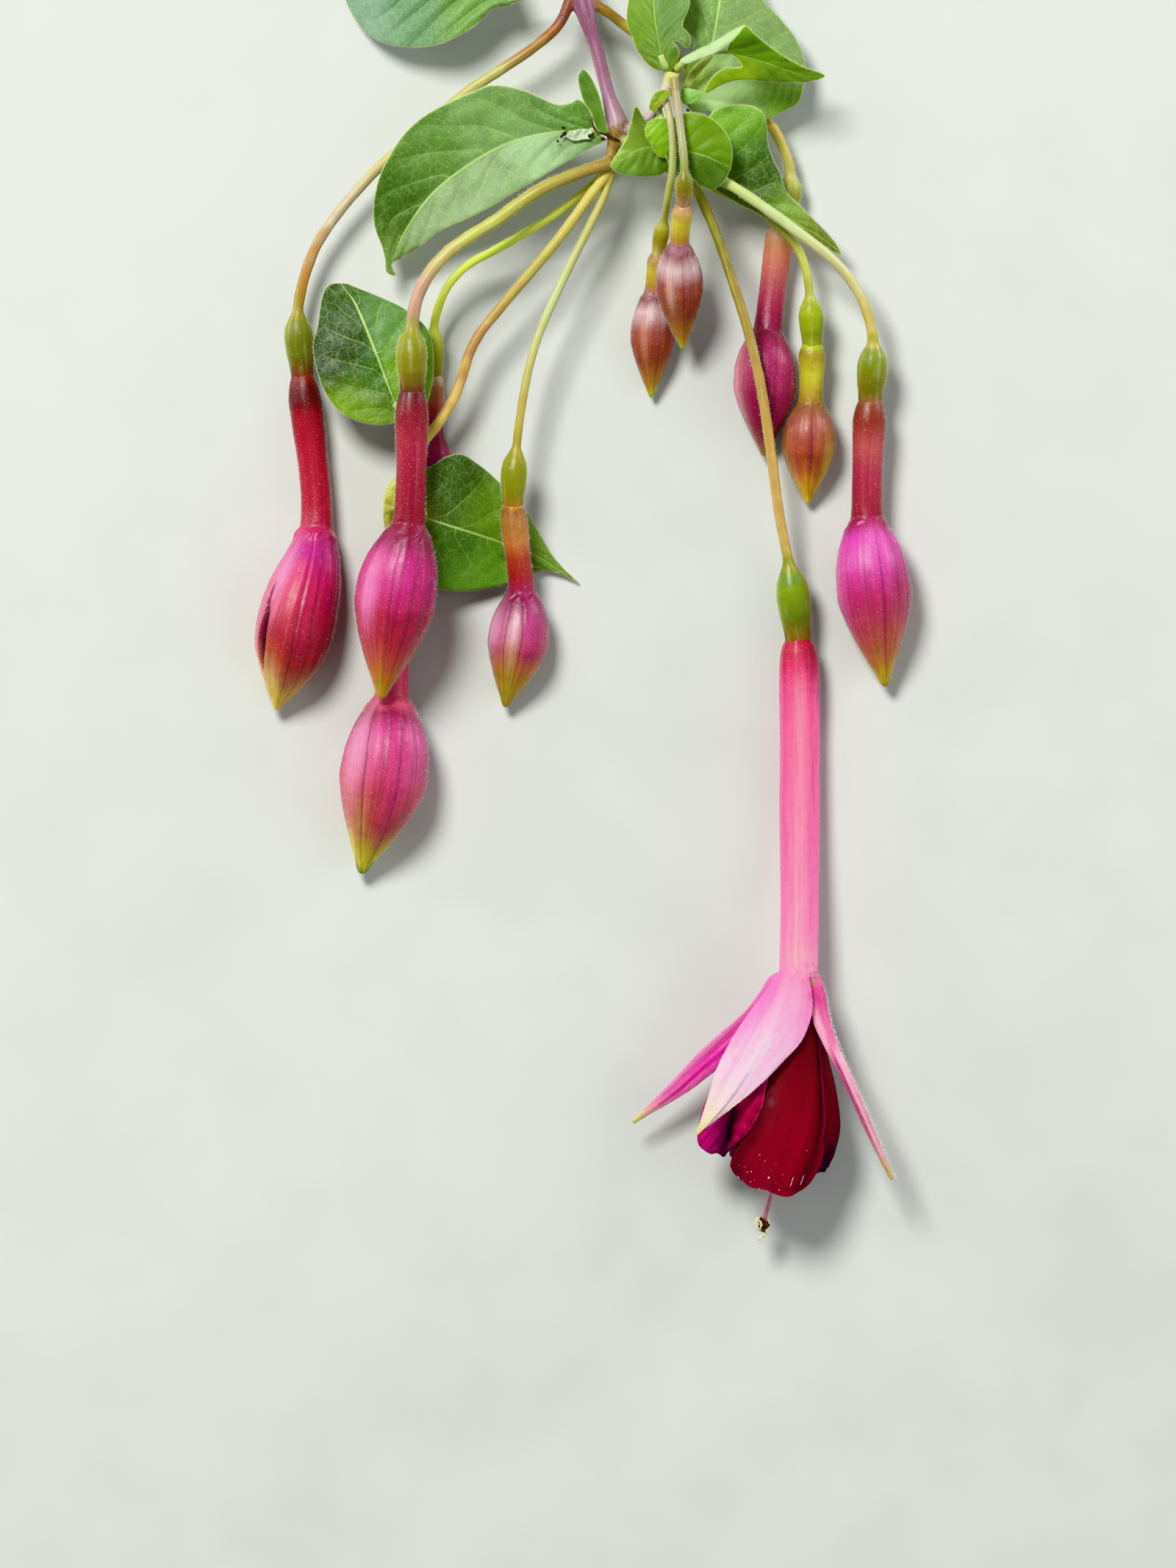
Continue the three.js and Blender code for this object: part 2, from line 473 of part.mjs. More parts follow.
/** A blade's surface: u from root to tip, v from its left margin over the rib to its right one. */
function bladeSurface({ rib, left, right }) {
  const curve = curveThrough(rib);
  const half = [left, right].map(({ width, rise, lean = [0, 0] }) => ({
    width: smooth(width.map((w) => w * MM_PER_PX)),
    rise: smooth(rise),
    lean: smooth(lean.map((w) => w * MM_PER_PX)),
  }));
  return (u, v) => {
    const { centre, along, side } = frameAt(curve, u);
    const share = Math.abs(2 * v - 1);
    const { width, rise, lean } = half[v < 0.5 ? 0 : 1];
    const level = new THREE.Vector3(along.x, along.y, 0).normalize();
    return centre
      .addScaledVector(side, Math.sign(v - 0.5) * width(u) * share)
      .addScaledVector(level, lean(u) * share * share)
      .addScaledVector(UP, rise(u) * share ** 1.4);
  };
}

const leafStalk = (path) => {
  const curve = curveThrough(path);
  return bentLathe(curve, refine([[0, LEAF_STALK], [curve.getLength(), LEAF_STALK]], 3.6), 5);
};

/** A leaf: the blade, with its stalk sunk into its root. */
function leaf(spec, rows, columns) {
  const blade = sheet(bladeSurface(spec), rows, columns, BLADE);
  return join([blade, leafStalk(spec.stalk)]);
}

// ---------------------------------------------------------------- open flower

/** The tube, with four sepals spread from its mouth. */
function calyx(axis) {
  const { tube, ovary } = FLOWER.radius;
  const { curve, neck, throat } = axis;
  const length = throat - neck - GAP;
  const profile = [[0, ovary * 0.72], [0.025, tube * 0.88], [0.07, tube * 1.02], [0.14, tube * 1.02], [0.3, tube],
    [0.5, tube * 1.02], [0.7, tube * 0.98], [0.86, tube * 0.94], [0.95, tube * 0.98], [1, tube * 1.04]];
  const body = bentLathe(curve, profile.map(([k, r]) => [neck + GAP + k * length, r]), BUD_SIDES);
  return join([body, ...Object.values(SEPALS).map((s) => sheet(bladeSurface(s), 7, 4, PETAL))]);
}

/** The corolla's axis, and a point at a share of it, an angle round it and a distance from it. */
const COROLLA_AXIS = new THREE.LineCurve3(place(FLOWER.tube.at(-1)), place(FLOWER.corollaEnd));
function roundCorolla(share, angle, distance, flat = COROLLA_FLAT) {
  const along = COROLLA_AXIS.getTangent(0);
  const side = new THREE.Vector3().crossVectors(UP, along).normalize();
  const above = new THREE.Vector3().crossVectors(along, side);
  return new THREE.Vector3().copy(COROLLA_AXIS.v1)
    .addScaledVector(along, share * COROLLA_AXIS.getLength())
    .addScaledVector(side, Math.cos(angle) * distance)
    .addScaledVector(above, Math.sin(angle) * distance * flat);
}

function petal({ turn, spread, reach, bulge, flat = COROLLA_FLAT }) {
  const radius = smooth(COROLLA_RADIUS);
  const start = 0.04;
  return sheet((u, v) => {
    const across = 2 * v - 1;
    const end = reach * (1 - 0.08 * across ** 4 + 0.015 * Math.sin(9 * across));
    const share = start + (end - start) * u;
    const lap = PETAL_LAP * across * Math.min(1, 2.5 * u);
    const angle = THREE.MathUtils.degToRad(turn + spread * across);
    const flattened = THREE.MathUtils.lerp(COROLLA_FLAT, flat, u);
    return roundCorolla(share, angle, radius(share) * (1 + (bulge - 1) * u * u) + lap, flattened);
  }, 6, 5, PETAL);
}

/** A ring round the corolla's axis, which the petals or the stamens grow from. */
function ring(from, to, inner, outer) {
  const length = COROLLA_AXIS.getLength();
  const section = [[inner, from], [outer, from], [outer, to], [inner, to], [inner, from]];
  const geometry = new THREE.LatheGeometry(section.map(([r, s]) => new THREE.Vector2(r, s)), 12);
  const position = geometry.attributes.position;
  const point = new THREE.Vector3();
  for (let i = 0; i < position.count; i += 1) {
    point.fromBufferAttribute(position, i);
    const p = roundCorolla(point.y / length, Math.atan2(point.z, point.x), Math.hypot(point.x, point.z));
    position.setXYZ(i, p.x, p.y, p.z);
  }
  return toSolid(geometry);
}

const corolla = () => join([ring(0.7, 2.4, 1.6, 2.2), ...Object.values(PETALS).map(petal)]);

/** Eight filaments of two lengths, each with its anther. */
function stamens() {
  const count = 8;
  const filaments = Array.from({ length: count }, (_, i) => {
    const angle = (2 * Math.PI * (i + 0.5)) / count;
    const reach = i % 2 ? 0.74 : 0.62;
    const curve = new THREE.CatmullRomCurve3([[0.06, 1.03], [0.3, 1.6], [0.5, 2.4], [reach, 3.2]]
      .map(([share, distance]) => roundCorolla(share, angle, distance)));
    const end = curve.getLength();
    return bentLathe(curve, [[0, 0.24], [end * 0.5, 0.27], [end - 2.4, 0.26], [end - 2, 0.5], [end - 0.6, 0.55],
      [end, 0.25]], 4);
  });
  return join([ring(0.7, 2.2, 0.78, 1.28), ...filaments]);
}

/** The style, with four stigma lobes at its end. */
function pistil() {
  const curve = curveThrough(FLOWER.pistil);
  const end = curve.getLength();
  const style = bentLathe(curve, refine([[0, 0.42], [end - 1.6, 0.42], [end - 0.9, 0.75], [end, 0.8]], 6), 6);
  const tip = frameAt(curve, 1);
  const lobes = [45, 135, 225, 315].map((degrees) => {
    const angle = THREE.MathUtils.degToRad(degrees);
    const out = tip.side.clone().multiplyScalar(Math.cos(angle)).addScaledVector(tip.above, Math.sin(angle));
    return ball(tip.centre.clone().addScaledVector(out, 0.6).addScaledVector(tip.along, 0.1), 0.62, 0);
  });
  return join([style, ...lobes]);
}

// ---------------------------------------------------------------- assembly

const material = (color, roughness) => new THREE.MeshStandardMaterial({ color, roughness, metalness: 0 });
const MATERIALS = {
  stem: material(0x8a5a78, 0.6),
  stalk: material(0xb7b84a, 0.55),
  ripeBud: material(0xc93a76, 0.5),
  youngBud: material(0xc27a6c, 0.55),
  calyx: material(0xf07fae, 0.5),
  corolla: material(0x8c0422, 0.5),
  stamens: material(0xe9dfae, 0.6),
  pistil: material(0xdd8fb0, 0.5),
  leaf: material(0x4f8f35, 0.55),
  youngLeaf: material(0x86b53c, 0.55),
};
const YOUNG_BUDS = ['young_front', 'young_back', 'young_right', 'behind_left'];
const YOUNG_LEAVES = ['centre_round', 'centre_folded', 'tip_right', 'top_centre'];

const budAxes = Object.fromEntries(Object.entries(BUDS).map(([name, spec]) => [name, budAxis(spec)]));
const openAxis = flowerAxis(FLOWER);

/** The stem with the roots of all stalks and leaf stalks, and the same grown by the clearance. */
function stemWithRoots(grow) {
  const thicker = (spec) => ({ ...spec, radii: spec.radii.map((r) => r + grow) });
  const widen = (spec) => ({ ...spec, root: spec.root + grow, radius: { ...spec.radius, stalk: spec.radius.stalk + grow } });
  const roots = Object.entries(BUDS).filter(([, spec]) => spec.root > 0)
    .map(([name, spec]) => stalkRoot(budAxes[name], widen(spec)));
  return join([
    branch(thicker(STEM.main), 9),
    branch(thicker(STEM.side), STALK_SIDES),
    branch(thicker(STEM.twig), 5),
    ...roots,
    stalkRoot(openAxis, widen(FLOWER)),
  ]);
}
const stem = stemWithRoots(0);
const stemRoom = stemWithRoots(GAP);

const group = new THREE.Group();

/** Adds a named mesh for a solid, trimmed where it rests on the surface. */
function add(name, solid, finish) {
  const mesh = restOnSurface(solid).getMesh();
  const geometry = new THREE.BufferGeometry();
  geometry.setAttribute('position', new THREE.Float32BufferAttribute(mesh.vertProperties, 3));
  geometry.setIndex([...mesh.triVerts]);
  geometry.computeVertexNormals();
  const object = new THREE.Mesh(geometry, finish);
  object.name = name;
  group.add(object);
}

add('stem', stem, MATERIALS.stem);
for (const [name, spec] of Object.entries(BUDS)) {
  add(`stalk_${name}`, stalkAndOvary(budAxes[name], spec).subtract(stemRoom), MATERIALS.stalk);
  const young = YOUNG_BUDS.includes(name);
  const bud = closedBud(budAxes[name], spec, young ? YOUNG_BUD_SIDES : BUD_SIDES);
  add(`bud_${name}`, bud, young ? MATERIALS.youngBud : MATERIALS.ripeBud);
}
for (const [name, spec] of Object.entries(LEAVES)) {
  const young = YOUNG_LEAVES.includes(name);
  const solid = leaf(spec, name === 'left' ? 10 : 7, 4).subtract(stemRoom);
  add(`leaf_${name}`, solid, young ? MATERIALS.youngLeaf : MATERIALS.leaf);
}
for (const [name, spec] of Object.entries(LEAFLETS)) {
  add(`leaflet_${name}`, sheet(bladeSurface(spec), 4, 2, BLADE).subtract(stemRoom), MATERIALS.youngLeaf);
}
add('stalk_flower', stalkAndOvary(openAxis, FLOWER).subtract(stemRoom), MATERIALS.stalk);
add('flower_calyx', calyx(openAxis), MATERIALS.calyx);
add('flower_corolla', corolla(), MATERIALS.corolla);
add('flower_stamens', stamens(), MATERIALS.stamens);
add('flower_pistil', pistil(), MATERIALS.pistil);

export default group;
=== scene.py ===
"""A flowering shoot of a long-tubed fuchsia, laid down on a pale surface and seen from straight above.

Places are written [x, y, z]: x and y in pixels of a view from straight above, 1600 pixels wide and
2133 high, with y downwards, and z the height above the surface in millimetres. Lengths are in
millimetres until a mesh is made.
"""

import math

import bpy
import numpy as np
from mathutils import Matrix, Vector
from mathutils.geometry import delaunay_2d_cdt
from mathutils.kdtree import KDTree


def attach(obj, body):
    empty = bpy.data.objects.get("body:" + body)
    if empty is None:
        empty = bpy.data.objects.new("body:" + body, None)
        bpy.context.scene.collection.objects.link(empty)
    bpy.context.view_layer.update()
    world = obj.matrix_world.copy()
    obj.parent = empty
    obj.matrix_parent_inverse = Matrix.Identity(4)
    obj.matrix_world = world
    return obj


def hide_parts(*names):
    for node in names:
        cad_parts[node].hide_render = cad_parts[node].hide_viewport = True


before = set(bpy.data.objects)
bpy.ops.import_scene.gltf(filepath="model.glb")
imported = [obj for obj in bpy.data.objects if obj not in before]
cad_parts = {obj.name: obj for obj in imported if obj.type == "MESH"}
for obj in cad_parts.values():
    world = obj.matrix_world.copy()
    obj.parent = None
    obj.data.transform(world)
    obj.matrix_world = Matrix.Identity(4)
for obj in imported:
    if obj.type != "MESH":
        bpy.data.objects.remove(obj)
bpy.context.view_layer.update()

MM = 0.001
MM_PER_PX = 50 / 460
ORIGIN_PX = (792.9, 759.8)
FRAME_PX = (1600, 2133)
UP = np.array([0.0, 0.0, 1.0])

# ---------------------------------------------------------------- the plant, as in the CAD source

STEM = {
    "main": {
        "path": [[752, -150, 1.3], [768, -90, 4.6], [789, -8, 9], [810, 62, 10], [826, 124, 10.6],
                 [840, 178, 11], [833, 205, 11.2], [831, 224, 11.2]],
        "radii": [1.3, 1.35, 1.65, 1.02, 0.98, 1.75, 0.85, 0.9],
    },
    "side": {
        "path": [[838, 184, 11.2], [866, 172, 12.2], [890, 152, 13.2], [906, 124, 13.8], [915, 98, 14.2]],
        "radii": [0.9, 0.75, 0.75, 0.85, 1.15],
    },
    "twig": {
        "path": [[832, 214, 10.6], [800, 231, 10], [768, 243, 10.2], [737, 257, 10.6], [705, 278, 11],
                 [674, 301, 11.2], [642, 321, 11.2], [610, 344, 11], [583, 375, 10.7], [567, 410, 10.3],
                 [560, 450, 9.9], [556, 520, 9.7], [556, 590, 9.7]],
        "radii": [0.6] * 12 + [0.65],
    },
}

# Each bud: stalk from the stem to the ovary, then neck (ovary meets tube), throat (tube meets
# sepals), belly (widest place of the closed sepals) and tip. A belly with no height rests on the
# surface. radii are those of the stalk, ovary, tube and belly. root is the length of stalk that
# belongs to the stem, and seam the angle of the first line between two sepals.
PRESS = 0.12
BUDS = {
    "far_left": {
        "stalk": [[778, -4, 9.4], [760, 34, 9.3], [728, 63, 8.9], [690, 89, 8.4], [640, 122, 7.8],
                  [595, 158, 7.2], [553, 194, 6.6], [519, 224, 6.3], [484, 260, 6], [453, 298, 5.8],
                  [430, 334, 5.6], [412, 384, 5.2], [405, 428, 5]],
        "neck": [411, 510, 4], "throat": [430, 720, 3.9], "belly": [402, 850], "tip": [375, 965, 2.8],
        "radii": [0.78, 2.15, 2.35, 5.85], "root": 3.2, "seam": 20,
        "profile": [[0.02, 0.5], [0.07, 0.57], [0.13, 0.67], [0.24, 0.83], [0.35, 0.94], [0.45, 0.99],
                    [0.54, 1], [0.665, 0.915], [0.78, 0.685], [0.885, 0.4], [0.95, 0.2], [0.975, 0.125],
                    [0.992, 0.075], [1, 0.01]],
    },
    "front_left": {
        "stalk": [[831, 223, 12], [800, 232, 13.2], [768, 244, 14], [737, 258, 14.7], [705, 279, 15.2],
                  [674, 302, 15.7], [642, 322, 16.1], [610, 345, 16.2], [583, 376, 16], [567, 410, 15.8],
                  [561, 450, 15.5]],
        "neck": [561, 533, 15], "throat": [556, 716, 13.6], "belly": [540, 800, 12.7],
        "tip": [518, 952, 9.8], "radii": [0.95, 2.3, 2.35, 6], "root": 3, "seam": 65,
    },
    "behind_left": {
        "stalk": [[828, 226, 10.6], [814, 244, 9.8], [789, 266, 9.4], [758, 290, 9.2], [716, 316, 9],
                  [674, 340, 8.6], [637, 360, 7.6], [610, 388, 6.2], [595, 422, 4.8], [590, 448, 4]],
        "neck": [589, 512, 3.2], "throat": [589, 592, 2.9], "belly": [588, 635], "tip": [580, 722, 2],
        "radii": [0.62, 1.6, 1.6, 3.3], "root": 2.4, "seam": 45,
    },
    "low_left": {
        "stalk": [[830, 227, 11.2], [819, 245, 11.4], [797, 275, 11.2], [768, 315, 10.7],
                  [737, 353, 10.1], [705, 390, 9.4], [674, 427, 8.7], [652, 455, 8.3], [639, 480, 8.1],
                  [630, 508, 7.8], [620, 536, 7.6], [601, 569, 7.4], [572, 607, 7], [548, 650, 5.7]],
        "neck": [539, 735, 3.9], "throat": [532, 952, 4.4], "belly": [523, 1045],
        "tip": [491, 1189, 2.6], "radii": [0.75, 2.25, 2.45, 6.5], "root": 3.4, "seam": 30,
    },
    "middle": {
        "stalk": [[833, 228, 11], [822, 266, 10.7], [803, 306, 10.5], [781, 350, 10.2], [752, 411, 10],
                  [734, 453, 9.8], [720, 500, 9.5], [710, 552, 9.1], [702, 614, 8.6]],
        "neck": [698, 688, 7.6], "throat": [709, 804, 5.1], "belly": [706, 862], "tip": [687, 962, 2.4],
        "radii": [0.62, 1.95, 1.95, 4.55], "root": 3, "seam": 75,
    },
    "young_front": {
        "stalk": [[917, 108, 14.8], [921, 139, 15.7], [925, 171, 16.2], [929, 206, 16.9],
                  [931, 236, 16.9]],
        "neck": [929, 281, 15.2], "throat": [924, 334, 12], "belly": [924, 378, 9.4],
        "tip": [929, 475, 6], "radii": [0.62, 1.3, 1.5, 3.5], "root": 1.8, "seam": 45,
    },
    "young_back": {
        "stalk": [[905, 138, 14.2], [911, 160, 15.4], [915, 195, 15.6], [914, 236, 15.4],
                  [909, 268, 13.4], [903, 302, 9]],
        "neck": [895, 346, 5.9], "throat": [889, 398, 3.6], "belly": [888, 446], "tip": [886, 540, 1.9],
        "radii": [0.55, 1.2, 1.35, 3.25], "root": 1.6, "seam": 45,
    },
    "behind_right": {
        "stalk": [[794, -2, 8.8], [826, 16, 8.4], [857, 40, 7.8], [910, 74, 6.6], [960, 104, 5.6],
                  [1010, 134, 4.9], [1048, 168, 4.3], [1069, 208, 3.8], [1076, 240, 3.4]],
        "neck": [1065, 300, 2.9], "throat": [1045, 448, 3.4], "belly": [1041, 512],
        "tip": [1040, 620, 2.2], "radii": [0.78, 2, 2.1, 4.65], "root": 3, "seam": 40,
    },
    "young_right": {
        "stalk": [[842, 192, 9.9], [864, 209, 8], [900, 226, 6.6], [946, 244, 6.1], [1000, 269, 6.2],
                  [1040, 291, 6.2], [1067, 315, 6.1], [1085, 336, 6.2], [1096, 364, 6.4], [1102, 406, 6]],
        "neck": [1105, 469, 5.2], "throat": [1103, 546, 3.9], "belly": [1101, 594],
        "tip": [1099, 684, 2], "radii": [0.62, 1.85, 1.9, 4], "root": 2.6, "seam": 45,
    },
    "far_right": {
        "stalk": [[843, 190, 11.6], [885, 207, 12.1], [925, 224, 12], [960, 237, 12], [992, 252, 12],
                  [1032, 278, 12], [1075, 309, 11.6], [1115, 339, 10.8], [1148, 370, 9.4],
                  [1171, 404, 8.2], [1184, 440, 7.3], [1188, 470, 6.7]],
        "neck": [1184, 545, 5.5], "throat": [1180, 706, 4.6], "belly": [1187, 786],
        "tip": [1205, 934, 3], "radii": [0.78, 2.25, 2.35, 5.5], "root": 3, "seam": 55,
    },
}
# Shape of a closed bud from throat to tip: [share of the way, share of the belly's radius]. The far
# left bud has a profile of its own, since its widest place is lower.
BUD_PROFILE = [[0.02, 0.5], [0.1, 0.7], [0.2, 0.87], [0.32, 0.98], [0.44, 1], [0.56, 0.89],
               [0.69, 0.69], [0.82, 0.44], [0.93, 0.21], [0.975, 0.125], [0.992, 0.075], [1, 0.01]]
OVARY_PROFILE = [[-0.3, 0], [-0.06, 0.34], [0.06, 0.6], [0.2, 0.88], [0.4, 1], [0.62, 0.96], [0.85, 0.82],
                 [1, 0.77]]

FLOWER = {
    "stalk": [[876, 164, 12.6], [889, 184, 11.2], [905, 208, 10.3], [924, 230, 10], [946, 257, 10.1],
              [974, 318, 10.9], [996, 381, 11.7], [1018, 452, 11.7], [1034, 521, 11.2], [1049, 617, 9.4],
              [1060, 697, 7.4], [1074, 772, 5.4]],
    "neck": [1086, 870, 4],
    "tube": [[1088, 950, 3.6], [1088, 1100, 4], [1088, 1240, 6], [1086, 1334, 8.2]],
    "radii": [0.75, 2.5, 2.85],
    "root": 2.4,
    "corolla_end": [1056, 1627, 8.6],
    "pistil": [[1085, 1346, 8.24], [1071, 1480, 8.4], [1058, 1580, 7.6], [1047, 1632, 6.6],
               [1037, 1668, 5.8]],
}

# Sepals and leaves: rib from root to tip. Each side, seen from above along the way from root to
# tip, has lists of values at equal steps: its width in pixels, the rise of its margin over the rib in
# millimetres and, where it has one, its lean, how far the margin is drawn towards the tip, in pixels.
SEPALS = {
    "front": {
        "rib": [[1080, 1322, 9.6], [1067, 1362, 13], [1046, 1402, 15.2], [1017, 1453, 16.4],
                [984, 1500, 16.4], [947, 1542, 15.6]],
        "right": ([20, 29, 36, 40, 36, 21, 3], [-0.4, -1, -1.4, -1.4, -1, -0.5, 0]),
        "left": ([25, 40, 46, 35, 23, 11, 3], [-0.4, -1.2, -1.6, -1.2, -0.6, -0.2, 0]),
        "middle": 72, "opens": 0.2,
    },
    "left": {
        "rib": [[1066, 1322, 7.6], [1031, 1382, 7.6], [997, 1413, 7.4], [962, 1444, 7], [922, 1480, 6.2],
                [861, 1527, 5]],
        "right": ([13, 17, 18, 18, 15, 9, 3.4], [0.2, 0.4, 0.5, 0.5, 0.4, 0.3, 0]),
        "left": ([12, 16, 18, 18, 15, 9, 3.4], [-0.2, -0.6, -0.7, -0.6, -0.5, -0.3, 0]),
        "middle": -18, "opens": 0.05,
    },
    "right": {
        "rib": [[1106, 1322, 8.4], [1112, 1352, 9.2], [1116, 1382, 10], [1128, 1416, 10.9],
                [1150, 1462, 11.5], [1171, 1508, 11.5], [1192, 1556, 10.9], [1214, 1604, 9.8]],
        "right": ([9, 12.5, 9.7, 7.6, 7, 5.8, 3.8], [0.3, 0.7, 0.2, -0.6, -1.1, -0.7, -0.1]),
        "left": ([8, 12, 9.7, 7.6, 7, 5.8, 3.8], [-0.3, -0.7, -0.2, 0.7, 1.2, 0.8, 0.1]),
        "middle": 162, "opens": 0.08,
    },
    "back": {
        "rib": [[1088, 1318, 6.6], [1084, 1380, 2.6], [1078, 1450, 0.9], [1072, 1520, 0.35],
                [1066, 1598, 0.28]],
        "right": ([16, 30, 36, 34, 26, 14, 3], [0, 0.3, 0.4, 0.4, 0.3, 0.1, 0]),
        "left": ([16, 30, 36, 34, 26, 14, 3], [0, 0.3, 0.4, 0.4, 0.3, 0.1, 0]),
        "middle": 252, "opens": 0.2,
    },
}

COROLLA_FLAT = 0.84
PETAL_LAP = 0.34

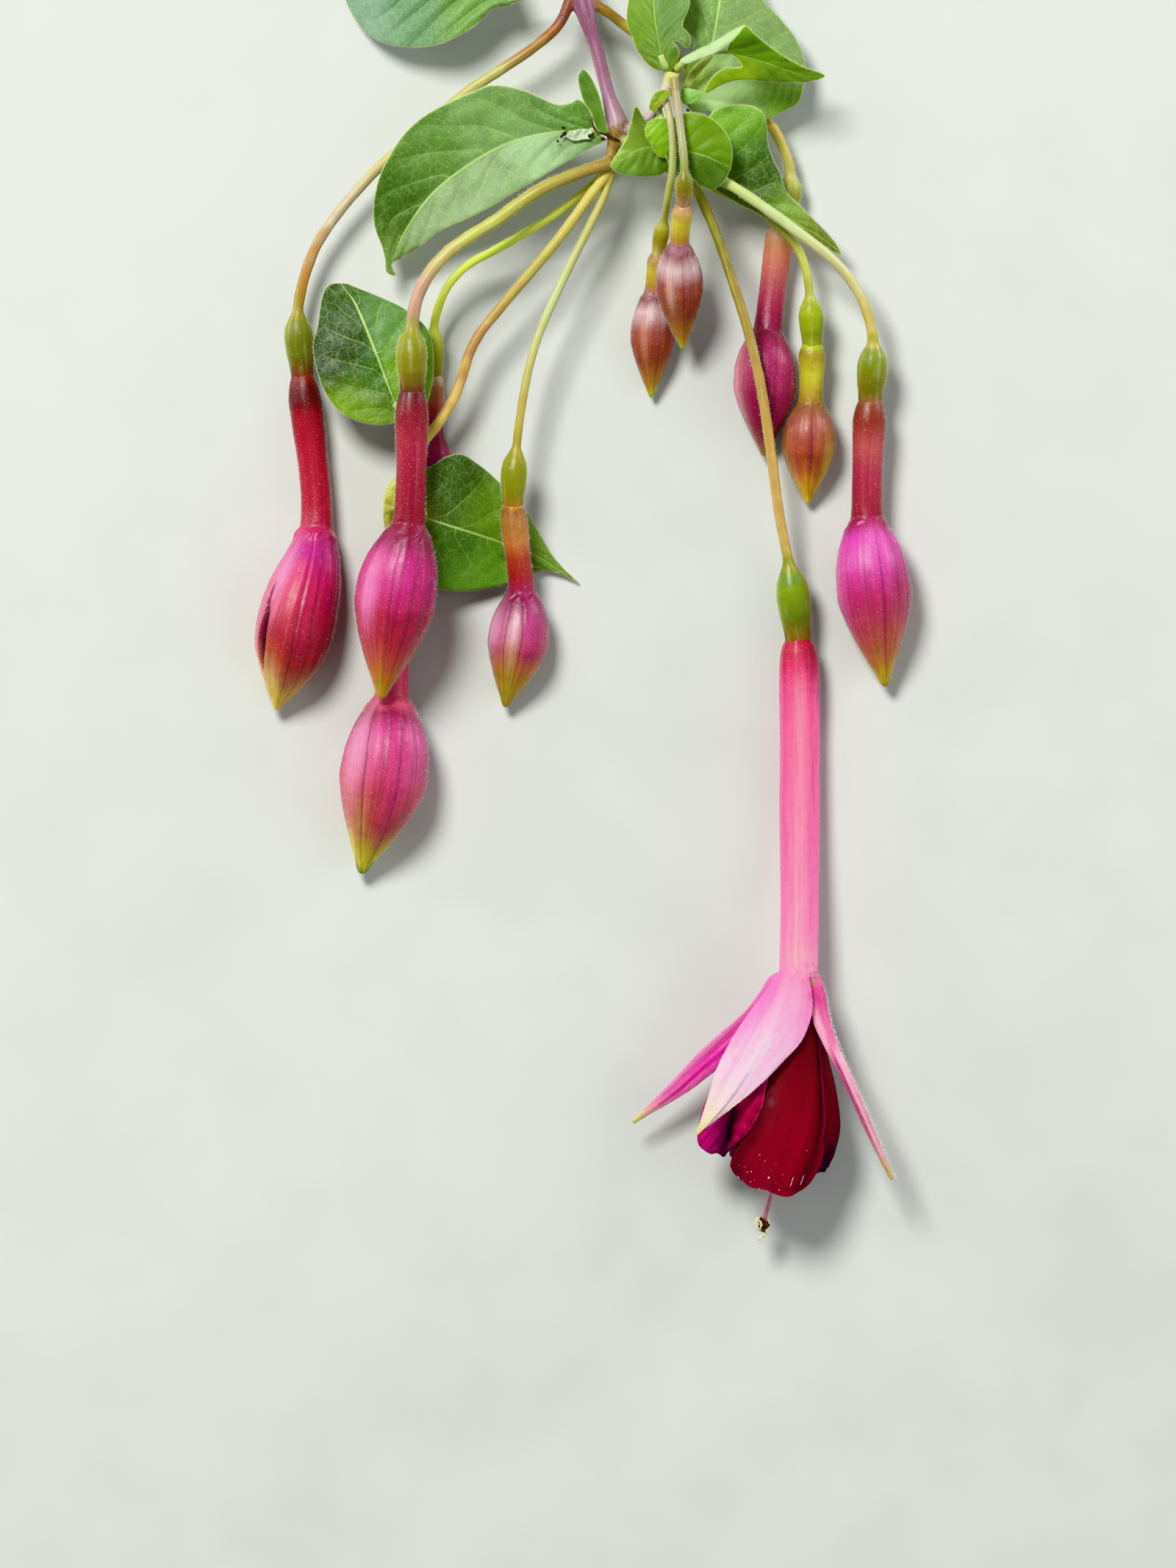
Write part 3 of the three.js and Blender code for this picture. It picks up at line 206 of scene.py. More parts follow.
LEAVES = {
    "top_left": {
        "stalk": [[785, -16, 9.2], [738, -8, 10.1], [690, 0, 9.4]],
        "rib": [[696, 0, 9.4], [640, -20, 8.8], [580, -34, 7.2], [520, -46, 4.4], [462, -58, 1.2]],
        "right": ([20, 62, 86, 90, 76, 44, 3], [0.4, 0.8, 1, 0.6, 0, -0.6, 0]),
        "left": ([22, 66, 90, 96, 86, 52, 3], [0.2, 0.2, 0, -0.6, -1.4, -1.4, 0], [0, 6, 10, 12, 8, 4, 0]),
        "outline": [[700, 4], [688, 8], [672, 11], [640, 40], [590, 62], [530, 60], [500, 45], [480, 20],
                    [466, -12], [460, -44], [456, -62], [470, -92], [500, -122], [545, -136],
                    [600, -128], [650, -100], [685, -50], [700, -10]],
    },
    "left": {
        "stalk": [[838, 182, 11.6], [822, 180, 12], [802, 177, 11.6]],
        "rib": [[808, 177, 11.8], [750, 180, 11.4], [692, 196, 10.7], [640, 224, 9.8], [592, 262, 8.7],
                [555, 311, 7.4], [530, 366, 5.8]],
        "right": ([19, 38, 84, 84, 78, 55, 3], [0.4, 1, 1.4, 1.5, 1.1, 0.6, 0], [5, -5, -8, 0, 4, -6, 0]),
        "left": ([21, 46, 58, 61, 51, 33, 3], [0.3, 1, 1.5, 1.7, 1.5, 0.9, 0], [-7, 2, -3, -6, -3, 4, 0]),
        "outline": [[812, 181], [806, 172], [805, 159], [799, 145], [785, 136], [776, 141], [758, 143],
                    [740, 136], [722, 127], [699, 120], [667, 117], [640, 127], [613, 139], [576, 159],
                    [549, 184], [529, 214], [515, 245], [508, 282], [510, 309], [520, 336], [524, 352],
                    [526, 370], [538, 374], [533, 359], [545, 351], [572, 334], [599, 314], [635, 298],
                    [667, 282], [695, 266], [731, 245], [767, 223], [804, 202], [822, 191]],
    },
    "low_left": {
        "stalk": [[556, 588, 9.9], [552, 572, 9.9], [536, 548, 9.5]],
        "rib": [[540, 553, 9.5], [526, 516, 9.1], [511, 478, 8.8], [495, 439, 8.3], [484, 414, 7.2],
                [470, 388, 5.2]],
        "right": ([25, 50, 68, 78, 71, 42, 4], [0, -0.4, -0.9, -1.3, -1.4, -1, 0],
                  [-12, -24, -18, -14, -16, -9, 0]),
        "left": ([31, 72, 85, 85, 71, 45, 18], [0, -0.2, -0.5, -0.8, -1, -0.8, 0],
                 [-15, -17, 5, 4, 5, 12, 0]),
        "outline": [[541, 574], [562, 569], [580, 550], [588, 520], [590, 490], [588, 466], [580, 446],
                    [553, 422], [526, 408], [495, 395], [468, 385], [447, 387], [439, 400], [435, 420],
                    [432, 443], [426, 469], [429, 495], [437, 522], [450, 546], [468, 564], [492, 574],
                    [516, 578]],
    },
    "low_middle": {
        "stalk": [[556, 592, 9.9], [556, 640, 9.8], [578, 702, 9.2]],
        "rib": [[574, 703, 9.2], [601, 712, 8.8], [626, 720, 7.6], [651, 728, 6], [683, 739, 4.1],
                [726, 757, 2.3], [787, 795, 0.8]],
        "right": ([52, 84, 76, 54, 22, 8, 3], [-2.4, -2.8, -2.4, -1.6, -0.6, 0, 0],
                  [7, 15, 15, 14, 8, 3, 0]),
        "left": ([62, 91, 92, 70, 47, 21, 3], [-0.2, -0.6, -1, -1.2, -0.8, -0.2, 0],
                 [-9, -25, -22, -17, -13, -12, 0]),
        "outline": [[560, 700], [538, 694], [524, 700], [522, 684], [530, 664], [553, 646], [586, 635],
                    [606, 622], [627, 618], [650, 631], [673, 650], [698, 676], [719, 700], [735, 727],
                    [748, 750], [766, 772], [787, 792], [764, 781], [740, 775], [712, 786], [682, 796],
                    [632, 804], [594, 800], [562, 788], [540, 768], [530, 742], [540, 716]],
    },
    "top_centre": {
        "stalk": [[911, 97, 14.2], [903, 88, 14.9], [898, 74, 14.9]],
        "rib": [[906, 92, 14.9], [897, 62, 14.3], [890, 26, 13], [888, -12, 11.2], [892, -52, 9]],
        "right": ([4, 22, 40, 48, 42, 24, 3], [0, 0.4, 0.7, 0.8, 0.6, 0.3, 0]),
        "left": ([8, 28, 34, 34, 30, 18, 3], [0, -0.6, -1, -1.2, -1, -0.5, 0]),
        "outline": [[911, 99], [922, 82], [923, 68], [914, 57], [924, 59], [934, 67], [940, 57],
                    [935, 46], [928, 37], [931, 26], [937, 12], [938, -4], [935, -24], [922, -42],
                    [892, -54], [870, -38], [859, -14], [854, 10], [853, 29], [860, 52], [868, 72],
                    [884, 91], [898, 98]],
    },
    "top_right": {
        "stalk": [[908, 118, 13.2], [922, 132, 11.2], [938, 134, 9.7]],
        "rib": [[934, 137, 9.9], [950, 98, 9.3], [965, 54, 8.4], [975, 8, 7], [983, -42, 4.6],
                [990, -92, 1.3]],
        "right": ([62, 132, 132, 118, 88, 46, 3], [-2.6, -3.4, -3, -2.4, -1.6, -0.6, 0],
                  [-34, -26, -10, 0, 0, 0, 0]),
        "left": ([4, 22, 34, 42, 38, 22, 3], [0, -0.4, -0.8, -0.9, -0.7, -0.3, 0]),
        "outline": [[927, 129], [943, 152], [965, 153], [1000, 161], [1043, 161], [1063, 152],
                    [1085, 140], [1091, 128], [1096, 88], [1085, 56], [1061, 24], [1038, -2],
                    [1024, -32], [1008, -64], [990, -94], [962, -66], [944, -34], [934, -6], [928, 18],
                    [929, 38], [944, 52], [940, 78], [930, 104]],
    },
    "tip_right": {
        "stalk": [[919, 96, 14.2], [931, 86, 15.2], [948, 77, 15.8]],
        "rib": [[940, 78, 15.8], [985, 72, 15.8], [1030, 83, 15], [1075, 96, 13.6], [1122, 106, 11.8]],
        "right": ([4, 12, 32, 36, 32, 18, 3], [0, 0.2, 0.2, -0.2, -0.4, -0.2, 0],
                  [0, 0, -34, -12, 0, 0, 0]),
        "left": ([5, 10, 22, 32, 20, 7, 3], [1.2, 2.2, 2.2, 1.6, 1, 0.4, 0], [0, 0, 2, 6, 0, 0, 0]),
        "outline": [[994, 60], [1004, 48], [1013, 38], [1028, 50], [1043, 62], [1065, 77], [1088, 90],
                    [1122, 104], [1106, 111], [1088, 113], [1043, 112], [1015, 110], [988, 114],
                    [959, 128], [965, 111], [984, 95], [1009, 92], [1000, 79], [990, 72]],
    },
    "centre_round": {
        "stalk": [[894, 146, 13.4], [901, 170, 14.4], [903, 200, 14.6]],
        "rib": [[898, 202, 14.6], [928, 206, 14.6], [960, 214, 14.4], [990, 228, 13.8]],
        "right": ([12, 32, 44, 48, 44, 30, 4], [0, -0.2, -0.3, -0.4, -0.4, -0.2, 0]),
        "left": ([16, 42, 50, 50, 44, 30, 4], [0, 0.1, 0.1, 0, -0.2, -0.2, 0]),
        "outline": [[903, 196], [906, 178], [916, 162], [929, 156], [945, 155], [961, 159], [979, 172],
                    [993, 193], [996, 215], [988, 243], [970, 259], [952, 253], [943, 244], [926, 238],
                    [912, 226], [904, 210]],
    },
    "centre_folded": {
        "stalk": [[860, 176, 12.1], [878, 190, 12.9], [900, 199, 13.5]],
        "rib": [[906, 200, 13.5], [880, 203, 13.8], [857, 213, 14.2], [832, 228, 14.2]],
        "right": ([24, 32, 48, 60, 34, 14, 3], [-0.2, 0.2, 0.7, 1, 0.8, 0.4, 0], [0, 0, 2, 0, -2, -6, 0]),
        "left": ([30, 34, 33, 27, 18, 9, 3], [-0.2, -0.4, -0.5, -0.5, -0.4, -0.2, 0]),
        "outline": [[865, 145], [858, 168], [851, 191], [840, 209], [831, 227], [839, 235], [863, 240],
                    [883, 241], [900, 238], [909, 228], [911, 200], [909, 165], [895, 162], [880, 167],
                    [870, 152]],
    },
    "right": {
        "stalk": [[846, 184, 10.2], [880, 199, 9], [918, 217, 8.4], [950, 234, 8.2]],
        "rib": [[946, 232, 8.2], [990, 257, 8.5], [1035, 280, 8.4], [1075, 300, 7.9], [1110, 321, 6.8],
                [1141, 342, 5.2]],
        "right": ([5, 12, 15, 20, 22, 9, 3], [0, -0.2, -0.2, -0.2, 0, 0, 0]),
        "left": ([82, 114, 106, 68, 31, 21, 3], [1.9, 1.6, 1, 0.2, -0.2, -0.2, 0],
                 [-19, -12, -23, -30, -21, -18, 0]),
        "outline": [[962, 168], [970, 152], [988, 145], [1010, 143], [1024, 145], [1036, 152],
                    [1043, 170], [1045, 197], [1052, 217], [1061, 234], [1070, 261], [1088, 279],
                    [1115, 306], [1134, 326], [1145, 346], [1128, 338], [1108, 326], [1085, 318],
                    [1060, 306], [1035, 292], [1010, 280], [985, 265], [962, 248], [950, 234],
                    [953, 215], [958, 190]],
    },
}
LEAFLETS = {
    "beside_stem": {
        "rib": [[822, 172, 13.2], [812, 142, 13.9], [801, 117, 14.3], [789, 97, 14.6]],
        "right": ([4, 9, 11, 9, 7, 5, 3], [0.2, 0.5, 0.6, 0.5, 0.3, 0.1, 0]),
        "left": ([4, 8, 10, 11, 9, 6, 3], [0.2, 0.5, 0.6, 0.5, 0.3, 0.1, 0]),
        "outline": [[793, 96], [787, 104], [787, 114], [789, 124], [795, 141], [804, 155], [808, 168],
                    [813, 178], [820, 181], [827, 180], [823, 162], [817, 136], [810, 118], [801, 102]],
    },
    "beside_fork": {
        "rib": [[906, 124, 15], [898, 134, 15.7], [890, 144, 15.9], [883, 153, 15.8]],
        "right": ([4, 6, 7, 7, 6, 5, 3], [0, 0.1, 0.2, 0.2, 0.1, 0, 0]),
        "left": ([4, 6, 7, 7, 6, 5, 3], [0, 0.1, 0.2, 0.2, 0.1, 0, 0]),
        "outline": [[913, 128], [906, 124], [898, 125], [890, 129], [885, 138], [883, 150], [888, 153],
                    [894, 149], [901, 142], [907, 135]],
    },
}

# ---------------------------------------------------------------- colours

# Along each bud: -1 at the neck, 0 at the throat, 1 at the tip.
CRIMSON = {-1: "7b2007", -0.95: "660505", -0.9: "560207", -0.82: "5e0105", -0.74: "8f071a",
           -0.5: "9e0f29", -0.2: "9d0b28", -0.04: "a01538", 0.04: "b12865", 0.14: "ac287d", 0.3: "c02c62",
           0.45: "b22c48", 0.58: "a02c38", 0.67: "a84034", 0.77: "c07c50", 0.87: "e4c04c", 1: "e0c448"}
MAUVE = {-1: "551f04", -0.96: "600f10", -0.88: "76091d", -0.8: "821e28", -0.6: "9d293d", -0.3: "8e1a30",
         -0.06: "840924", 0.03: "7a1038", 0.1: "841446", 0.2: "b02070", 0.35: "b5276d", 0.5: "ab2c46",
         0.64: "b43845", 0.76: "bd5a46", 0.85: "c1742b", 0.93: "ad9529", 1: "cf9036"}
MAGENTA = {-1: "875930", -0.97: "7f3a2a", -0.85: "832a19", -0.6: "b15152", -0.4: "a33147",
           -0.15: "931e35", -0.04: "84081f", 0.04: "93154e", 0.14: "c734a1", 0.28: "c44095",
           0.42: "b02c64", 0.58: "b8485c", 0.72: "bd634f", 0.84: "bc803d", 0.92: "c1a92a", 1: "a39c21"}
ROSE = {-1: "b86a58", -0.8: "c04a58", -0.3: "c84466", -0.04: "cc4c68", 0.03: "bd4d67", 0.12: "842044",
        0.25: "bc3c80", 0.4: "bc406c", 0.55: "c64e58", 0.66: "be4a50", 0.74: "c4784c", 0.82: "c9af29",
        0.92: "d8cc36", 1: "637b14"}
ORANGE = {-1: "b68a21", -0.97: "884f1e", -0.85: "a1733b", -0.6: "bb7a41", -0.4: "a03a20", -0.15: "9b272c",
          -0.03: "922a4c", 0.04: "7c1040", 0.15: "8c2c58", 0.35: "b44972", 0.5: "a9424b", 0.62: "c0733c",
          0.72: "b38724", 0.84: "b89a19", 1: "a19117"}
BUFF = {-1: "a57d5b", -0.6: "c9bc3d", -0.2: "b18a31", -0.02: "9e6977", 0.06: "824f4f", 0.18: "cfb2b4",
        0.35: "985047", 0.5: "904326", 0.65: "8b421f", 0.78: "a36f24", 0.88: "ae8125", 1: "a9c729"}
GOLD = {-1: "a1bd06", -0.9: "92801b", -0.5: "c1be3a", -0.25: "b1a031", -0.05: "a07e2d", 0.05: "895e38",
        0.2: "9f5b49", 0.4: "a45237", 0.55: "a04c29", 0.68: "c27531", 0.8: "dda522", 0.92: "cfa71c",
        1: "e9d718"}
WINE = {-1: "d8c098", -0.8: "b07850", -0.6: "b86858", -0.35: "a03c50", -0.15: "941c44", -0.04: "881a40",
        0.06: "802441", 0.25: "982458", 0.5: "901c44", 0.7: "8c2440", 0.85: "985048", 1: "a08c3c"}

# Along each stalk: 0 at the stem, 1 at the ovary; then 1 to 2 from the ovary's start to the neck.
LIME = {0: "b8b058", 0.5: "b4bf83", 0.9: "af9f42", 1.08: "848415", 1.3: "7c8408", 1.7: "7a7c09",
        2: "976b21"}
LEMON = {0: "c0bc54", 0.3: "ccd85c", 0.7: "dcec5c", 1: "ccd854", 1.5: "909812", 2: "8a8410"}
SPRING = {0: "c8c870", 0.5: "b8c45c", 0.9: "b4b850", 1.08: "94a030", 1.3: "94a60c", 1.7: "7c8c08",
          2: "8c9418"}
TAN = {0: "94803c", 0.2: "9a8c44", 0.35: "a0a048", 0.6: "adaf53", 0.88: "b48c78", 1.02: "8c8826",
       1.2: "777b0b", 1.6: "747105", 2: "602a10"}
HONEY = {0: "d0c060", 0.3: "b0a854", 0.6: "a87c48", 0.85: "e0c86c", 1.05: "b4ac3c", 1.4: "98981c",
         2: "8a7420"}
AMBER = {0: "744038", 0.1: "8d5325", 0.28: "a9a75e", 0.5: "b0a858", 0.72: "b8ac8d", 0.9: "a16f25",
         1.02: "8c8221", 1.12: "6c7423", 1.3: "626c06", 1.7: "5b5f04", 1.9: "644203", 2: "752407"}
ROSE_TAN = {0: "8c5c34", 0.08: "805e22", 0.16: "8c8030", 0.3: "b0a848", 0.7: "b8a048", 1: "a8a658",
            1.4: "7c8420", 2: "a89848"}
PEA = {0: "a8ac6c", 0.3: "a8b864", 0.55: "bcc78c", 0.8: "c4bc86", 0.97: "bcab46", 1.08: "75852f",
       1.35: "6e7907", 1.8: "6b630a", 2: "896036"}
BEIGE = {0: "8a7e3d", 0.35: "9f9777", 0.75: "96986a", 0.97: "848b40", 1.1: "696b06", 1.5: "776919",
         2: "9d765b"}
MOSS = {0: "b0a880", 0.4: "9aa265", 0.9: "b4b850", 1.5: "958515", 2: "c8c177"}
FLOWER_STALK = {0: "8c9438", 0.3: "726d10", 0.55: "a48b49", 0.75: "bc9751", 0.93: "c4a55e", 1: "888d1b",
                1.1: "5b7c1f", 1.3: "758e05", 1.7: "596d04", 2: "825202"}

# Paint of each bud: colours along it, colours along its stalk, how far its lines show, and patches
# [angle, share of the way from throat to tip, half widths of both, colour, strength]. Some pale patches on
# the upper side are painted highlights.
BUD_PAINT = {
    "far_left": (CRIMSON, AMBER, 0.75, [
        [42, 0.29, 17, 0.17, "fca8dc", 0.65], [14, 0.5, 16, 0.4, "e88ab0", 0.5],
        [130, 0.5, 24, 0.4, "98143c", 0.5], [55, 0.82, 14, 0.12, "ccb068", 0.6]]),
    "front_left": (MAUVE, TAN, 0.35, [
        # The patch at 84 degrees near the throat is a painted highlight on top of the bud.
        [46, 0.38, 15, 0.2, "f898d0", 0.6], [84, 0.25, 22, 0.12, "e46cb4", 0.2],
        [130, 0.5, 20, 0.3, "a02050", 0.45]]),
    "behind_left": (WINE, LEMON, 0.5, []),
    "low_left": (ROSE, HONEY, 1.0, [
        # The pale patch at 44 degrees is a painted highlight on the upper left of the bud.
        [44, 0.3, 20, 0.26, "e8a4c4", 0.6], [66, 0.68, 16, 0.14, "c09850", 0.6],
        [108, 0.45, 12, 0.25, "b43068", 0.55], [135, 0.3, 14, 0.2, "d870a8", 0.4]]),
    "middle": (ORANGE, LIME, 0.9, [
        [79, 0.32, 13, 0.14, "e8c4cc", 0.75], [79, 0.56, 14, 0.16, "cca474", 0.7],
        [26, 0.34, 24, 0.22, "f0b4d4", 0.85], [115, 0.3, 16, 0.3, "b83480", 0.5],
        [79, 0.8, 16, 0.16, "b0a430", 0.6]]),
    "young_front": (BUFF, BEIGE, 0.6, [
        [66, 0.35, 14, 0.26, "dcb8a0", 0.6], [108, 0.4, 9, 0.35, "8c4444", 0.5]]),
    "young_back": (BUFF, MOSS, 0.5, [
        [66, 0.4, 14, 0.3, "cc9880", 0.4], [100, 0.5, 9, 0.3, "843a3c", 0.5]]),
    "behind_right": (WINE, ROSE_TAN, 0.6, [
        [24, 0.45, 20, 0.4, "dc94a0", 0.75], [72, 0.3, 10, 0.4, "701438", 0.5],
        [125, 0.4, 16, 0.3, "a4285c", 0.5]]),
    "young_right": (GOLD, SPRING, 0.7, [
        [150, 0.62, 20, 0.26, "d4c858", 0.9], [24, 0.66, 18, 0.3, "c0a050", 0.6],
        [92, 0.42, 9, 0.34, "80283c", 0.6], [62, 0.4, 8, 0.3, "8c3c40", 0.5]]),
    "far_right": (MAGENTA, PEA, 0.7, [
        # The patch at 96 degrees near the throat is a painted highlight on top of the bud.
        [96, 0.15, 26, 0.12, "e474bc", 0.5], [24, 0.4, 16, 0.24, "f078bc", 0.6],
        [155, 0.4, 20, 0.3, "90104c", 0.6], [120, 0.75, 16, 0.16, "cc7048", 0.4]]),
}
# Lines along the closed sepals: angle near the throat, angle near the tip, strength. An angle of 90
# faces straight up and 0 is on the left of a bud that points down the view.
BUD_LINES = {
    "far_left": [[60, 26, 0.9], [87, 97, 0.9], [107, 124, 0.5], [150, 160, 0.4]],
    "front_left": [[52, 58, 0.5], [84, 88, 0.8], [118, 112, 0.6], [145, 145, 0.4]],
    "behind_left": [[45, 50, 0.5], [75, 80, 0.6], [105, 105, 0.6], [140, 135, 0.4]],
    "low_left": [[20, 30, 0.3], [41, 50, 0.35], [59, 73, 1.0], [86, 93, 0.6], [107, 120, 0.75],
                 [132, 152, 0.7]],
    "middle": [[38, 44, 0.5], [61, 68, 1.0], [97, 98, 0.8], [126, 122, 0.4], [150, 150, 0.3]],
    "young_front": [[50, 55, 0.5], [72, 76, 0.6], [99, 98, 0.8], [126, 122, 0.5]],
    "young_back": [[50, 55, 0.5], [80, 82, 0.7], [112, 108, 0.6], [140, 135, 0.4]],
    "behind_right": [[52, 58, 0.6], [80, 84, 0.9], [110, 107, 0.6], [140, 135, 0.4]],
    "young_right": [[48, 54, 0.6], [72, 76, 0.6], [96, 95, 0.9], [124, 120, 0.6], [148, 145, 0.4]],
    "far_right": [[52, 58, 0.4], [77, 80, 0.5], [106, 101, 0.9], [132, 126, 0.4]],
}
TUBE_TINT = {0: "b4203c", 0.03: "b12846", 0.08: "cf3463", 0.14: "e44b85", 0.25: "f65b99", 0.6: "f66baa",
             0.85: "f67fb7", 0.95: "f49bbb", 1: "f6a3c2"}

# Leaf colours and painted light: [x, y, colour] on the upper face. Some spots are painted highlights and
# painted shade, not the leaf's own colour.
LEAF_COLOUR_AND_LIGHT = {
    "top_left": [[560, 10, "5a815a"], [640, 10, "608640"], [500, 20, "6b8a73"], [560, -80, "628a58"]],
    # The left leaf's lower half is painted paler than its upper half: painted light on the half turned to
    # the sky.
    "left": [[660, 160, "6c9050"], [580, 200, "567c36"], [545, 280, "345c14"], [760, 150, "608448"],
             [680, 235, "789464"], [590, 300, "7c9468"], [740, 205, "84a474"], [530, 350, "5c7c38"],
             [790, 160, "44741c"]],
    "low_left": [[480, 430, "1d3f07"], [540, 440, "548141"], [450, 490, "142f01"], [510, 520, "265403"],
                 [480, 562, "6a8e04"], [565, 500, "659208"]],
    "low_middle": [[620, 650, "254504"], [680, 690, "588115"], [610, 740, "2c5804"], [640, 785, "5b9229"],
                   [745, 770, "577a23"], [530, 690, "a5a03d"]],
    "top_centre": [[870, 30, "5a8011"], [890, 70, "4f720a"], [920, 10, "537736"], [890, -30, "68893a"]],
    "top_right": [[1010, 20, "6c8850"], [1060, 70, "6c8850"], [1040, 145, "64901c"], [960, 20, "648644"],
                  [1000, 150, "a4c088"], [940, 130, "88ab3b"]],
    "tip_right": [[1030, 75, "548204"], [1080, 100, "4d7002"], [990, 105, "6f8e06"]],
    "centre_round": [[950, 180, "638703"], [975, 200, "517a03"], [960, 235, "385e02"]],
    # The pale spot along the folded leaf's fold, at (851, 214), is a painted highlight.
    "centre_folded": [[868, 170, "254202"], [862, 205, "7c9c29"], [900, 185, "6a8715"],
                      [885, 225, "395c02"], [850, 228, "4c7c14"], [851, 214, "94b85c"]],
    # The right leaf's darkest spots, near (1035, 235) and (1045, 246), are painted shadow beneath the stalks
    # that cross it.
    "right": [[1000, 170, "7aab3d"], [1025, 200, "346509"], [1035, 235, "162d04"], [980, 235, "3b600a"],
              [1045, 246, "284808"], [1070, 280, "789840"],
              [1110, 318, "5c6912"]],
    "beside_stem": [[795, 120, "40681c"], [815, 150, "587c2c"]],
    "beside_fork": [[890, 140, "5d7e14"], [906, 130, "849417"]],
}
YOUNG_LEAVES = ("centre_round", "centre_folded", "tip_right", "top_centre", "beside_stem", "beside_fork")

# ---------------------------------------------------------------- curves and profiles


def place(points):
    """Places [x px, y px, z mm] as millimetres in the part's frame."""
    p = np.array(points, float)
    p[..., 0] = (p[..., 0] - ORIGIN_PX[0]) * MM_PER_PX
    p[..., 1] = (ORIGIN_PX[1] - p[..., 1]) * MM_PER_PX
    return p


def unit(v):
    return v / np.maximum(np.linalg.norm(v, axis=-1, keepdims=True), 1e-9)


def hermite(w, a, b, slope_a, slope_b):
    w2, w3 = w * w, w * w * w
    return ((2 * w3 - 3 * w2 + 1) * a + (w3 - 2 * w2 + w) * slope_a
            + (3 * w2 - 2 * w3) * b + (w3 - w2) * slope_b)


def through(points, steps=24, closed=False):
    """A smooth line through points, and the number of its first point for each of them."""
    p = np.array(points, float)
    if closed:
        p = np.vstack([p[-1], p, p[0], p[1]])
    else:
        p = np.vstack([2 * p[0] - p[1], p, 2 * p[-1] - p[-2]])
    w = np.linspace(0, 1, steps, endpoint=False)[:, None]
    line = []
    for a, b, c, d in zip(p, p[1:], p[2:], p[3:]):
        g = [max(np.linalg.norm(r - q) ** 0.5, 1e-4) for q, r in ((a, b), (b, c), (c, d))]
        slope_b = ((b - a) / g[0] - (c - a) / (g[0] + g[1]) + (c - b) / g[1]) * g[1]
        slope_c = ((c - b) / g[1] - (d - b) / (g[1] + g[2]) + (d - c) / g[2]) * g[1]
        line.append(hermite(w, b, c, slope_b, slope_c))
    if not closed:
        line.append(p[-2][None])
    return np.vstack(line), np.arange(len(points)) * steps


class Path:
    """A smooth curve through places, read by the distance along it."""

    def __init__(self, places):
        self.line, starts = through(place(places))
        steps = np.linalg.norm(np.diff(self.line, axis=0), axis=1)
        self.reach = np.concatenate([[0], np.cumsum(steps)])
        self.marks = self.reach[starts]
        self.length = self.reach[-1]

    def at(self, s):
        s = np.clip(s, 0, self.length)
        return np.stack([np.interp(s, self.reach, self.line[:, k]) for k in range(3)], -1)

    def frames(self, s):
        """Centre, way along, level way to the right and way above, at distances s."""
        s = np.asarray(s, float)
        along = unit(self.at(s + 0.12) - self.at(s - 0.12))
        side = unit(np.cross(along, UP))
        return self.at(s), along, side, np.cross(side, along)


def smooth(values, u):
    """A smooth function of u from 0 to 1 through values at equal steps."""
    v, n = np.array(values, float), len(values) - 1
    x = np.clip(u, 0, 1) * n
    i = np.minimum(x.astype(int), n - 1)
    before, after = v[np.maximum(i - 1, 0)], v[np.minimum(i + 2, n)]
    return hermite(x - i, v[i], v[i + 1], (v[i + 1] - before) / 2, (after - v[i]) / 2)


def flowing(knots, x):
    """A smooth function through knots [x, y] that never swings past them."""
    kx, ky = np.array(knots, float).T
    rise = np.diff(ky) / np.diff(kx)
    both = rise[:-1] * rise[1:]
    middle = np.where(both > 0, 2 * both / np.where(both > 0, rise[:-1] + rise[1:], 1), 0)
    slope = np.concatenate([rise[:1], middle, rise[-1:]])
    i = np.clip(np.searchsorted(kx, x) - 1, 0, len(rise) - 1)
    h = kx[i + 1] - kx[i]
    return hermite(np.clip((x - kx[i]) / h, 0, 1), ky[i], ky[i + 1], slope[i] * h, slope[i + 1] * h)


def smoothstep(x, low, high):
    w = np.clip((x - low) / (high - low), 0, 1)
    return w * w * (3 - 2 * w)


def bell(x, width):
    return np.exp(-((x / width) ** 2))


def together(*values):
    """Values for the same points side by side in one table; a plain number holds for all of them."""
    return np.stack(np.broadcast_arrays(*values), -1)


def to_whole(x):
    """Distance of x to the nearest whole number."""
    return np.abs(x - np.round(x))


def mean_nearby(far, values, reach):
    """Means of values, weighed by squared distances to their places within a soft reach."""
    weight = np.exp(-(far - far.min(1, keepdims=True)) / (2 * reach * reach))
    return (weight @ values) / weight.sum(1, keepdims=True)


def waves(seed, *coordinates):
    """A smooth irregular function of some coordinates, about -1 to 1."""
    rng = np.random.default_rng(seed)
    total = 0
    for strength in (0.5, 0.35, 0.25):
        turn = sum(c * rng.uniform(0.6, 1.6) / strength * 0.5 for c in coordinates)
        total = total + strength * np.sin(turn + rng.uniform(0, 6.28))
    return total


# ---------------------------------------------------------------- colours as numbers


def linear(hexes):
    """Colours written rrggbb as linear numbers."""
    c = np.array([[int(h[i:i + 2], 16) / 255 for i in (0, 2, 4)] for h in hexes])
    return np.where(c <= 0.04045, c / 12.92, ((c + 0.055) / 1.055) ** 2.4)


def gradient(stops, x):
    """Colours at x between stops {place: colour}."""
    colours = linear(stops.values())
    return np.stack([np.interp(x, list(stops), colours[:, k]) for k in range(3)], -1)


def one(colour):
    return linear([colour])[0]


def toward(colour, paint, share):
    """Colours mixed with a paint by a share of their own for each point."""
    return colour + (one(paint) - colour) * share[..., None]


